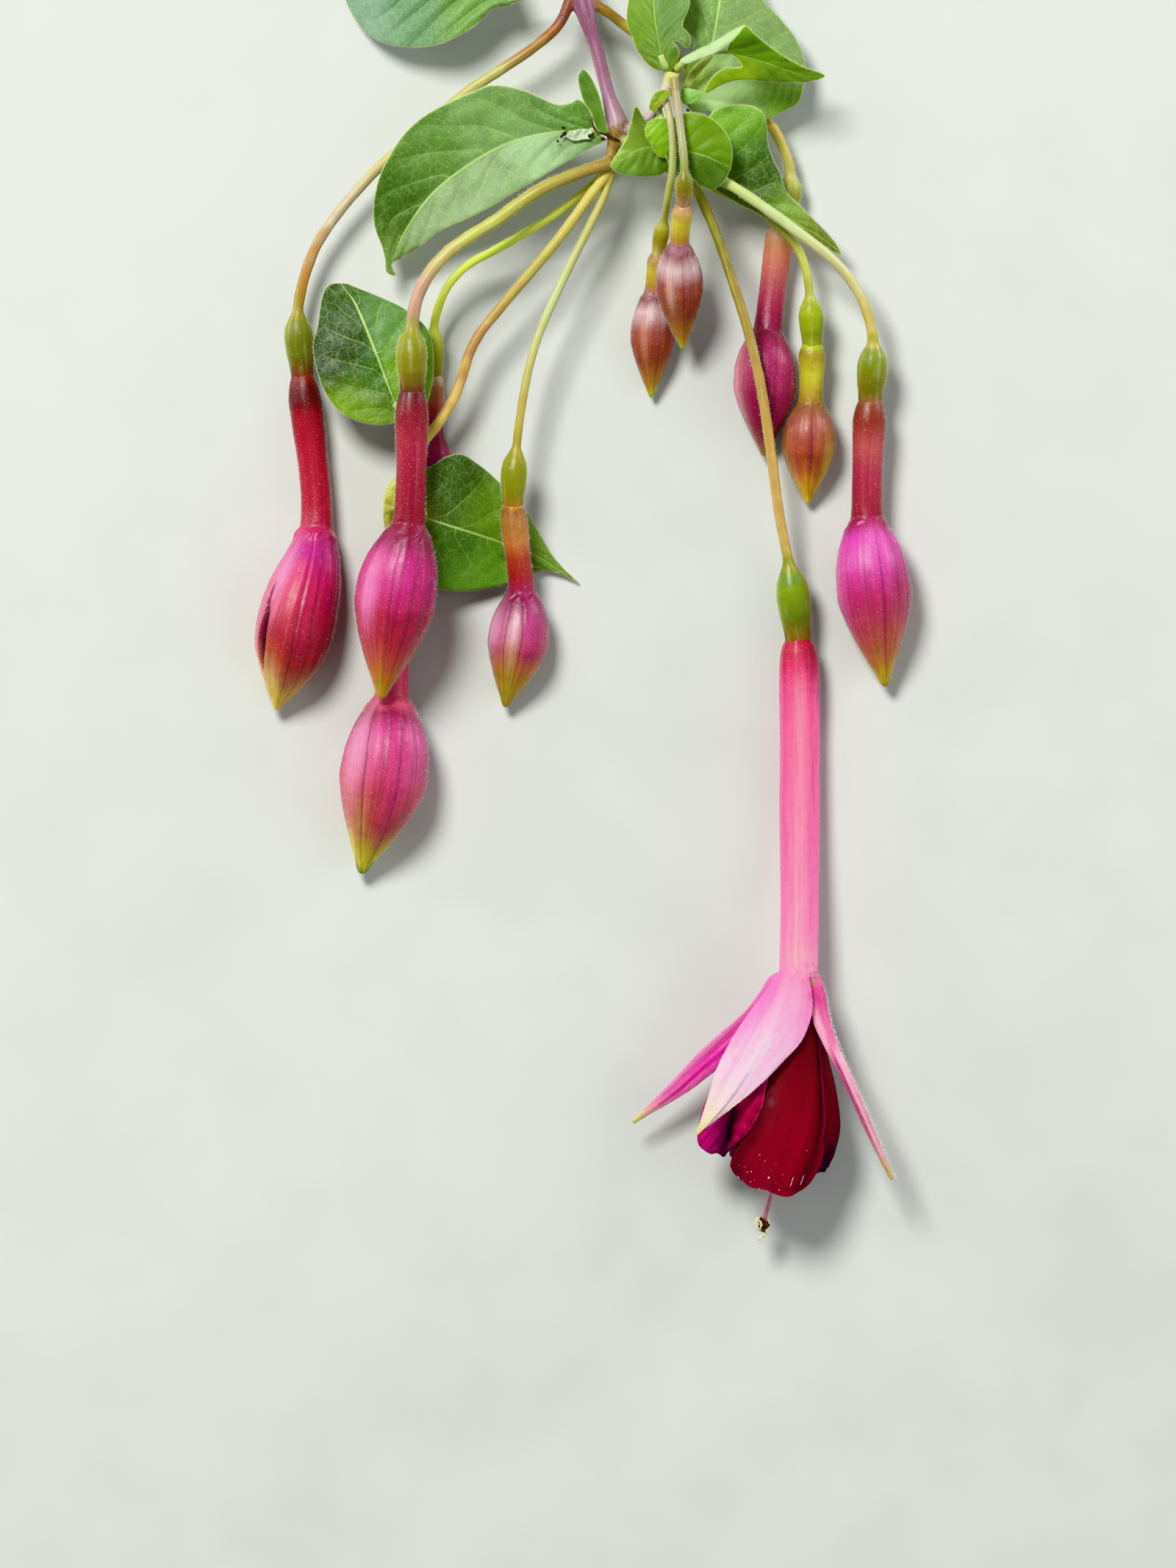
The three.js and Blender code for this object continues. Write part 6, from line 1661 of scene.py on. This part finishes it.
def calyx_piece():
    """The flower's tube and its four sepals, grown together."""
    path = flower_path()
    draft = Form()
    calyx_tube(draft, path)
    margins = []
    for number, (name, spec) in enumerate(SEPALS.items()):
        U, V, points = sepal(spec, path, 31 + number)
        colour = sepal_colour(name, U, V)
        under = colour * 0.8 + one("f060b0") * 0.2
        thick = SEPAL_THICK * (1 - 0.45 * np.abs(V) ** 2) * (1 - 0.4 * U)
        marks = together(V * 1.4 + 0.5, U * 3, 0)
        grid_sheet(draft, points, thick, colour, under, np.zeros((*U.shape, 2)), marks)
        if name in HAIRY_MARGINS:
            edge, last, rounds = HAIRY_MARGINS[name]
            margin, middle = points[2:last, edge], points[2:last, U.shape[1] // 2]
            margins.append((margin, margin - middle, rounds))
    points, quads, tints, marks = draft.fused()
    tints = stained_throat(points, tints)
    form = Form().add(points, [quads], tints, [marks[quads][..., :2]])
    form.build("flower_calyx_skin", CALYX_SKIN, "calyx", ["flower_calyx"])
    stalk = stalk_piece("flower", path, FLOWER, FLOWER_STALK, "stalk", 71)
    down = Form()
    rng = np.random.default_rng(77)
    left, top, _ = place([HAIRY_FROM[0], HAIRY_ABOVE[0], 0])
    right, bottom, _ = place([HAIRY_FROM[1], HAIRY_ABOVE[1], 0])
    hairy = np.maximum(smoothstep(points[:, 1], bottom, top), smoothstep(points[:, 0], left, right))
    add_down(down, points, quads, tints, *HAIRS["calyx"], rng, np.maximum(hairy, 0.04))
    add_down(down, *stalk, *HAIRS["flower_stalk"], rng)
    for margin, away, rounds in margins:
        for _ in range(rounds):
            hairs(down, margin + rng.normal(0, 0.17, margin.shape), unit(away + [0, 0, 0.3]),
                  rng.uniform(0.18, 0.36, len(margin)), 0.025, PALE_DOWN, rng)
    down.build("flower_calyx_down", DOWN, "calyx")


AXIS_START, AXIS_END = place(FLOWER["tube"][-1]), place(FLOWER["corolla_end"])
AXIS = AXIS_END - AXIS_START
AXIS_WAY = unit(AXIS)
AXIS_SIDE = unit(np.cross(UP, AXIS_WAY))
AXIS_ABOVE = np.cross(AXIS_WAY, AXIS_SIDE)


def round_corolla(share, angle, distance):
    share, angle, distance = np.broadcast_arrays(share, angle, distance)
    return (AXIS_START + AXIS * share[..., None] + AXIS_SIDE * (np.cos(angle) * distance)[..., None]
            + AXIS_ABOVE * (np.sin(angle) * distance * COROLLA_FLAT)[..., None])


def petal_distance(name, spec, share, U, V, seed):
    """How far a petal is from the corolla's axis, in millimetres, with its folds."""
    r = smooth(spec["radius"], share) + PETAL_LAP * (2 * V - 1) * np.minimum(1, 2.5 * U)
    r = r + 0.1 * U * waves(seed, V * 8, U * 2.4) + 0.03 * U * np.sin(V * 30 + 3 * U + seed)
    r = r + 0.25 * smoothstep(U, 0.86, 1) * np.sin(V * 11 + seed)
    if name == "front":
        r = r - 0.3 * bell(V - 0.14, 0.1) * smoothstep(U, 0.15, 0.5)
    if name == "right":
        r = r - 1.15 * smoothstep(V, 0.74, 0.92) * smoothstep(U, 0.05, 0.5)
        r = r + 0.25 * bell(V - 0.98, 0.035) * smoothstep(U, 0.1, 0.4)
        tuck, ruffle = bell(V - 0.8, 0.14), np.sin(V * 40)
        r = r - 0.7 * smoothstep(U, 0.9, 1) * tuck + 0.2 * smoothstep(U, 0.84, 0.95) * ruffle
    return r


def petal_colour(name, spec, points, U, V, seed):
    """A petal's colours, with painted shade and painted highlights on the front and right petals, and how
    dark its purple-black creases are.
    """
    colour = gradient(spec["colours"], U + 0.05 * waves(seed + 1, V * 5, U * 3))
    crease = 0.2 * bell(np.minimum(V, 1 - V), 0.012) + 0.16 * bell(U - 1, 0.008)
    if name == "front":
        glow = bell(V - 0.36, 0.22) * bell(U - 0.76, 0.3)
        colour = toward(colour, "8c0018", 0.5 * glow)
        # Painted shade in the valley beside the right petal.
        colour = colour * (1 - 0.62 * bell(V - 0.13, 0.085))[..., None]
        # Painted shadow of the left petal's lobes along the front petal's left edge.
        colour = colour * (1 - 0.5 * smoothstep(V, 0.74, 0.9) * smoothstep(U, 0.2, 0.5))[..., None]
        scar = bell(np.linalg.norm((points - place(PETAL_SCAR))[..., :2] * [1, 0.75], axis=-1), 0.6)
        colour = toward(colour, "6c4450", 0.5 * smoothstep(scar, 0.25, 0.7))
    if name == "right":
        crease = crease + 0.95 * bell(V - 0.82, 0.2) * smoothstep(U, 0.86, 0.96)
        crease = crease + 0.8 * bell(V - 0.8, 0.07) * bell(U - 0.86, 0.05)
        # A bright red line along the rolled left margin: a painted highlight.
        colour = toward(colour, "a01838", 0.6 * bell(V - 0.985, 0.02))
    return colour, np.clip(crease, 0, 1)


def petal(form, name, spec, seed):
    """A petal round the corolla's axis."""
    U, V = grid(np.linspace(0, 1, 80), np.linspace(0, 1, 65))
    end = flowing(spec["end"], V) + 0.006 * np.sin(17 * V + seed)
    share = PETAL_START + (end - PETAL_START) * U
    right, left = (flowing(spec[edge], share) for edge in ("right", "left"))
    angle = np.radians(right + (left - right) * V)
    points = round_corolla(share, angle, petal_distance(name, spec, share, U, V, seed))
    colour, crease = petal_colour(name, spec, points, U, V, seed)
    under = colour * 0.9 + one("90083c") * 0.1
    thick = PETAL_THICK * (1 - 0.4 * np.abs(2 * V - 1) ** 4) * (1 - 0.4 * smoothstep(U, 0.9, 1))
    grid_sheet(form, points, thick, colour, under, together(V * 2.4, U * 2.5), together(crease, 0, 0))
    return points


# Share of the corolla's length at which the petals start, their thickness in millimetres, and the
# place of the pale scar on the front one.
PETAL_START = 0.04
PETAL_THICK = 0.26
PETAL_SCAR = [1049, 1499, 0]
# Petals: angles of the right and left edges along the corolla, in degrees, the end across the petal as
# a share of the corolla's length, and distances from its axis in millimetres at equal steps along it.
PETALS = {
    "right": {
        "right": [[0, -62], [1, -62]], "left": [[0, 16], [0.33, 30], [0.55, 40], [0.8, 42], [1, 44]],
        "end": [[0, 0.8], [0.4, 0.83], [0.66, 0.86], [0.85, 0.885], [1, 0.86]],
        "radius": [1.9, 3.7, 5.3, 7.2, 8.2, 7.2, 5.6],
        "colours": {0: "3c0004", 0.3: "480008", 0.6: "580410", 0.8: "54040e", 0.93: "34000c", 1: "1c000a"},
    },
    "front": {
        "right": [[0, 12], [0.35, 18], [0.6, 26], [0.8, 34], [1, 44]],
        "left": [[0, 140], [0.3, 128], [0.56, 125], [0.74, 133], [0.83, 150], [0.92, 158], [1, 158]],
        "end": [[0, 0.82], [0.06, 0.93], [0.14, 0.972], [0.25, 0.994], [0.44, 0.99], [0.6, 0.976],
                [0.8, 0.95], [0.92, 0.925], [1, 0.88]],
        "radius": [1.9, 3.5, 5.0, 6.6, 7.6, 7.7, 7.0],
        "colours": {0: "400004", 0.25: "540008", 0.5: "68000e", 0.75: "780016", 0.9: "780018",
                    1: "70001a"},
    },
    "left": {
        "right": [[0, 122], [1, 122]], "left": [[0, 226], [1, 226]],
        "end": [[0, 0.84], [0.5, 0.84], [1, 0.8]],
        "radius": [1.9, 3.0, 4.4, 6.0, 7.2, 7.2, 6.6],
        "colours": {0: "640012", 0.5: "740424", 1: "700828"},
    },
    "back": {
        "right": [[0, 214], [1, 214]], "left": [[0, 306], [1, 306]],
        "end": [[0, 0.94], [0.5, 0.96], [1, 0.94]],
        "radius": [1.9, 3.0, 4.6, 6.4, 7.4, 7.6, 6.9],
        "colours": {0: "500008", 0.5: "640010", 1: "6c0818"},
    },
}

# The left petal's two crumpled lobes: outline [x, y, z], how far the middle stands up, colours.
LOBES = {
    "outer": {"outline": [[985, 1573, 10.6], [976, 1568, 10.6], [967, 1569, 10.2], [958, 1564, 9.8],
                          [951, 1557, 9.6], [949, 1545, 9.8], [953, 1520, 10.6], [965, 1488, 11.6],
                          [984, 1462, 12.2], [1006, 1455, 12.6], [1002, 1490, 12.2], [997, 1520, 11.4],
                          [992, 1552, 10.6]],
              "puff": 0.7, "colours": ["8c0848", "b80c70"]},
    "inner": {"outline": [[984, 1572, 10.4], [993, 1564, 11.6], [1004, 1553, 13], [1017, 1540, 13.9],
                          [1028, 1522, 14.2], [1037, 1504, 14.3], [1041, 1480, 14.2], [1046, 1452, 13.8],
                          [1030, 1436, 13.2], [1010, 1458, 12.8], [1000, 1490, 11.8], [995, 1518, 10.8],
                          [990, 1548, 10.2]],
              "puff": 0.8, "colours": ["80042c", "a40844"]},
}

# White specks on the front petal [x, y, radius in millimetres], and the lower ends of four short
# white streaks.
PETAL_SPECKS = [[1033, 1571, 0.1], [1040, 1578, 0.09], [1022, 1592, 0.1], [1017, 1594, 0.09],
                [1045, 1602, 0.17], [1020, 1608, 0.1], [1003, 1603, 0.09], [1032, 1615, 0.08],
                [1059, 1618, 0.09], [1041, 1620, 0.07], [1027, 1606, 0.06], [1048, 1590, 0.06],
                [1012, 1588, 0.06], [1098, 1566, 0.07], [1066, 1596, 0.06], [1056, 1608, 0.06],
                [1005, 1585, 0.05], [1037, 1597, 0.05], [1054, 1583, 0.05], [1009, 1609, 0.06]]
STREAKS = [[1074, 1614], [1077, 1607], [1090, 1611], [1092, 1604]]

# Places on the lobes, in pixels. The crease between them: y and x along it, and the y between which it
# starts. They are dark beyond a slanting line, which crosses DARK_BAND in y where x is DARK_X, and
# their right margin is pale where x + 0.4 y is past MARGIN_BAND.
CREASE_Y, CREASE_X = [1500, 1516, 1545, 1572], [999, 996, 991, 984]
CREASE_STARTS = (1492, 1514)
DARK_X, DARK_BAND = 965, (1560, 1574)
MARGIN_BAND = (1622, 1632)


def lobe(form, spec, seed):
    """A crumpled lobe of the left petal, with a purple-black crease."""
    outline = spec["outline"]
    xy, triangles, rim_count, to_rim = fill(outline, FINE_STEP)
    x, y = xy.T
    slant = x * 0.42 + y * 0.3
    z = heights(xy, outline) + spec["puff"] * np.minimum(to_rim / 1.6, 1) ** 0.8
    wrinkled = waves(seed, slant, y * 0.05) + 0.6 * waves(seed + 1, slant * 1.9, x * 0.1)
    z = z + 0.14 * wrinkled * smoothstep(to_rim, 0, 0.6)
    z = z + 0.06 * waves(seed + 3, slant * 3.1, y * 0.25)
    first, second = (one(c) for c in spec["colours"])
    tint = first + (second - first) * smoothstep(wrinkled, -0.8, 0.8)[:, None]
    crease = bell(x - np.interp(y, CREASE_Y, CREASE_X), 4.5 + 0.08 * (y - CREASE_Y[0]))
    crease = crease * smoothstep(y, *CREASE_STARTS)
    z = z - 0.35 * crease
    low = smoothstep(y + 0.35 * (x - DARK_X), *DARK_BAND)
    low = low * smoothstep(waves(seed + 2, x * 0.8), -0.5, 0)
    crease = np.maximum(crease, 0.85 * low)
    margin = smoothstep(x + y * 0.4, *MARGIN_BAND) * (1 - smoothstep(to_rim, 0.1, 0.3))
    tint = toward(tint, "c06078", 0.6 * margin)
    flow, marks = together(slant * 0.05, y * 0.01), together(np.minimum(crease, 1), 0, 0)
    cut_sheet(form, xy, triangles, rim_count, z, FLAP_THICK, tint, tint, flow, marks)


def corolla_piece():
    form = Form()
    made = {name: petal(form, name, spec, 60 + 5 * k) for k, (name, spec) in enumerate(PETALS.items())}
    for k, spec in enumerate(LOBES.values()):
        lobe(form, spec, 90 + 4 * k)
    form.build("flower_corolla_skin", COROLLA_SKIN, "corolla", ["flower_corolla"])
    rng = np.random.default_rng(12)
    pollen = Form()
    flat = made["front"].reshape(-1, 3)
    on_petal = lambda x, y: flat[np.linalg.norm(flat[:, :2] - place([x, y, 0])[:2], axis=1).argmin()]
    for x, y, size in PETAL_SPECKS:
        blob(pollen, on_petal(x, y) + AXIS_ABOVE * 0.15, size, one("f4e4e8"), rng)
    for x, y in STREAKS:
        at = on_petal(x, y) + AXIS_ABOVE * 0.14
        for k in range(9):
            size = 0.075 - 0.012 * abs(k - 4) / 2
            blob(pollen, at + [0.03 * k, 0.08 * k, 0.005 * k], size, one("f4e4e8"), rng)
    pollen.build("pollen_specks", grain_skin("pollen", "ecc4cc", "d890a4", 0.7), "stamens")


def blob(form, centre, radius, colour, rng, flat=1.0):
    """A small lumpy round body."""
    rows, columns = 7, 10
    T, A = grid(np.linspace(0.12, math.pi - 0.12, rows), even_angles(columns))
    r = radius * (1 + 0.15 * np.sin(A * 2 + rng.uniform(0, 6)) * np.sin(T * 2 + rng.uniform(0, 6)))
    points = np.stack([np.sin(T) * np.cos(A) * r, np.sin(T) * np.sin(A) * r, np.cos(T) * r * flat], -1)
    points = points + centre
    quads, _, _ = grid_faces(rows, columns, True)
    ends = np.stack([points[0].mean(0), points[-1].mean(0)])
    form.add(np.vstack([points.reshape(-1, 3), ends]), [quads[:, ::-1], *end_caps(rows, columns)], colour)


def thread(form, path, radii, stops, sides=12, seed=1, rough=0.04):
    """A fine round thread along a path."""
    knots = np.column_stack([np.linspace(0, path.length, len(radii)), radii])
    lathe(form, path, np.linspace(0, path.length, max(int(path.length / 0.12), 10)), even_angles(sides),
          lambda s, a: flowing(knots, s) * (1 + rough * waves(seed, s * 5, a)),
          lambda s, a: gradient(stops, s / path.length))


# The withered stigma: cream curls [x, y, z] and their radii, in millimetres.
CURLS = [
    ([[1038, 1657, 6], [1034, 1656, 6.4], [1030, 1659, 6.6], [1029, 1665, 6.6], [1031, 1671, 6.3],
      [1035, 1674, 6]],
     [0.1, 0.17, 0.2, 0.17, 0.19, 0.12]),
    ([[1042, 1657, 5.9], [1045, 1660, 6], [1046, 1666, 6.2], [1044, 1673, 6], [1041, 1679, 5.8]],
     [0.1, 0.13, 0.12, 0.15, 0.15]),
    ([[1043, 1675, 6], [1040, 1679, 6.1], [1037, 1682, 5.9], [1035, 1684, 5.7]], [0.13, 0.17, 0.15, 0.2]),
    ([[1033, 1660, 6.8], [1036, 1664, 7], [1035, 1670, 6.9]], [0.09, 0.14, 0.1]),
]


# The round end of the lowest curl, and the middle of the dry anthers between the curls.
LAST_CURL = [1034, 1685, 5.7]
ANTHERS_MIDDLE = [1039, 1665, 6.2]


def pistil_and_stamens():
    """The style with its withered stigma, the dry anthers on it, and the stamens inside the corolla."""
    style = Form()
    thread(style, Path(FLOWER["pistil"]), [0.42, 0.38, 0.34, 0.34, 0.36],
           {0: "d88ca8", 0.85: "d88cac", 1: "c07890"})
    for k, (places, radii) in enumerate(CURLS):
        thread(style, Path(places), radii, {0: "e0d8a4", 1: "f0e8b4"}, 10, 30 + k, 0.4)
    rng = np.random.default_rng(4)
    blob(style, place(LAST_CURL), 0.34, one("f0e8a8"), rng)
    style.build("flower_pistil_skin", stalk_skin("style_skin"), "pistil", ["flower_pistil"])
    dark = Form()
    for k in range(16):
        turn, out = k * 2.4, 0.2 + 0.052 * k
        away = [out * math.cos(turn) * 0.75, out * math.sin(turn), 0.3 * math.sin(2.3 * turn)]
        blob(dark, place(ANTHERS_MIDDLE) + away, rng.uniform(0.22, 0.32), one("3a2414"), rng)
    dark.build("dry_anthers", grain_skin("dry_anther", "5a3c20", "1c100a", 0.7), "stamens")
    inner = Form()
    for k in range(8):
        angle = 2 * math.pi * (k + 0.5) / 8
        reach = 0.74 if k % 2 else 0.62
        way = [round_corolla(np.array(a), np.array(angle), np.array(d)) for a, d in
               ((0.06, 1.03), (0.3, 1.6), (0.5, 2.4), (reach, 3.2))]
        thread(inner, Path(np.array([unplace(w) for w in way])), [0.2, 0.18, 0.17, 0.15],
               {0: "e0708c", 1: "e890a4"}, 10, 50 + k)
        blob(inner, way[-1], 0.5, one("e8dca8"), rng)
    inner.build("flower_stamens_skin", stalk_skin("stamen_skin"), "stamens", ["flower_stamens"])


def unplace(point):
    """Millimetres in the part's frame as a place [x px, y px, z mm]."""
    return [ORIGIN_PX[0] + point[0] / MM_PER_PX, ORIGIN_PX[1] - point[1] / MM_PER_PX, point[2]]


calyx_piece()
corolla_piece()
pistil_and_stamens()

# ---------------------------------------------------------------- withered scrap by the left leaf

# The scrap's outline [x, y, z].
SCRAP = [[767, 184, 12.6], [773, 181, 12.8], [782, 178, 13], [793, 176.5, 13], [804, 178, 12.9],
         [806, 183, 12.8], [800, 187, 12.9], [804, 190, 12.8], [793, 191, 12.8], [782, 193, 12.7],
         [774, 190, 12.6]]

# Dark crumbs [x, y, radius in millimetres], and a dry thread.
CRUMBS = [[766.5, 175, 0.27], [769, 182, 0.24], [766.5, 184, 0.26], [764, 187, 0.22], [759, 193, 0.2],
          [802, 186, 0.3], [806, 184, 0.24], [820, 190, 0.28], [823, 191, 0.18], [936, 151, 0.24]]
DRY_THREAD = [[806, 158, 12.7], [806, 168, 12.9], [809, 176, 13], [822, 183, 12.9], [843, 193, 12.9]]


def scrap_piece():
    """A withered, papery scrap with dark crumbs and a dry thread, caught between leaf and stem."""
    form = Form()
    xy, triangles, rim_count, _ = fill(SCRAP, SCRAP_STEP)
    z = heights(xy, SCRAP) + 0.12 * waves(3, xy[:, 0] / 3, xy[:, 1] / 3)
    paper = one("ccd8b8") * (0.9 + 0.1 * waves(5, xy[:, 0] / 2, xy[:, 1] / 2))[:, None]
    marks, flow = together(0 * z, 2, 0), together(0 * z + 0.5, 1)
    cut_sheet(form, xy, triangles, rim_count, z, SCRAP_THICK, paper, paper * 0.8, flow, marks)
    form.build("withered_scrap", grain_skin("scrap_paper", "b8c8a8", "a0b088", 0.6), "leaf")
    dark = Form()
    rng = np.random.default_rng(9)
    for x, y, size in CRUMBS:
        blob(dark, place([x, y, 12.95]), size, one("241810"), rng, 0.7)
    thread(dark, Path(DRY_THREAD), [0.1, 0.16, 0.2, 0.2, 0.16], {0: "5c2a1c", 1: "5c1c20"}, 10, 8)
    dark.build("withered_crumbs", grain_skin("crumb", "4a2c1c", "180e0a", 0.7), "leaf")


scrap_piece()

# ---------------------------------------------------------------- floor, lights and camera


# In metres: the floor's half width and how far it lies under the part, the camera's height, and the
# height above the floor at which the view is just as tall as the photo.
FLOOR_HALF, FLOOR_DROP = 3, 2e-5
CAMERA_HEIGHT, PHOTO_HEIGHT = 4.0, 0.008


def stage_set():
    mesh = bpy.data.meshes.new("floor")
    corners = [(x * FLOOR_HALF, y * FLOOR_HALF, -FLOOR_DROP)
               for x, y in ((-1, -1), (1, -1), (1, 1), (-1, 1))]
    mesh.from_pydata(corners, [], [(0, 1, 2, 3)])
    floor = add_object("floor", mesh)
    m = Shader("floor_paper", Roughness=0.85)
    grain = m.noise(60.0, 2.0)
    mesh.materials.append(m.finish(m.mix("c4c8c2", "c8ccc6", m.between(grain, 0.3, 0.7))))


def light(name, place_m, aim, size, watts, colour=(1, 1, 1)):
    lamp = bpy.data.lights.new(name, "AREA")
    lamp.shape, lamp.size, lamp.energy, lamp.color = "DISK", size, watts, colour
    thing = add_object(name, lamp)
    thing.location = place_m
    thing.rotation_mode = "QUATERNION"
    thing.rotation_quaternion = (Vector(aim) - Vector(place_m)).to_track_quat("-Z", "Y")


def lights():
    light("key", (-0.3, 0.5, 0.85), (0, -0.01, 0), 0.34, 13.0, (1.0, 0.985, 0.96))
    light("fill", (0.7, -0.1, 0.6), (0, -0.02, 0), 0.8, 1.6, (0.95, 0.98, 1.0))
    light("rim_right", (0.55, 0.35, 0.14), (0, 0, 0.01), 0.2, 1.6)
    light("rim_left", (-0.55, 0.2, 0.12), (0, 0, 0.01), 0.2, 1.2)
    world = bpy.data.worlds.new("studio")
    world.use_nodes = True
    world.node_tree.nodes["Background"].inputs[0].default_value = (0.93, 0.96, 1.0, 1)
    world.node_tree.nodes["Background"].inputs[1].default_value = 0.3
    bpy.context.scene.world = world


def camera():
    """Straight above, far away, framing the whole view."""
    tall = FRAME_PX[1] * MM_PER_PX * MM
    centre = place([[FRAME_PX[0] / 2, FRAME_PX[1] / 2, 0]])[0] * MM
    data = bpy.data.cameras.new("camera")
    data.sensor_width = 36.0
    data.lens = 36.0 * (CAMERA_HEIGHT - PHOTO_HEIGHT) / tall
    data.clip_start, data.clip_end = 0.1, 20
    eye = add_object("camera", data)
    eye.location = (centre[0], centre[1], CAMERA_HEIGHT)
    bpy.context.scene.camera = eye


stage_set()
lights()
camera()
bpy.context.scene.view_settings.view_transform = "Khronos PBR Neutral"
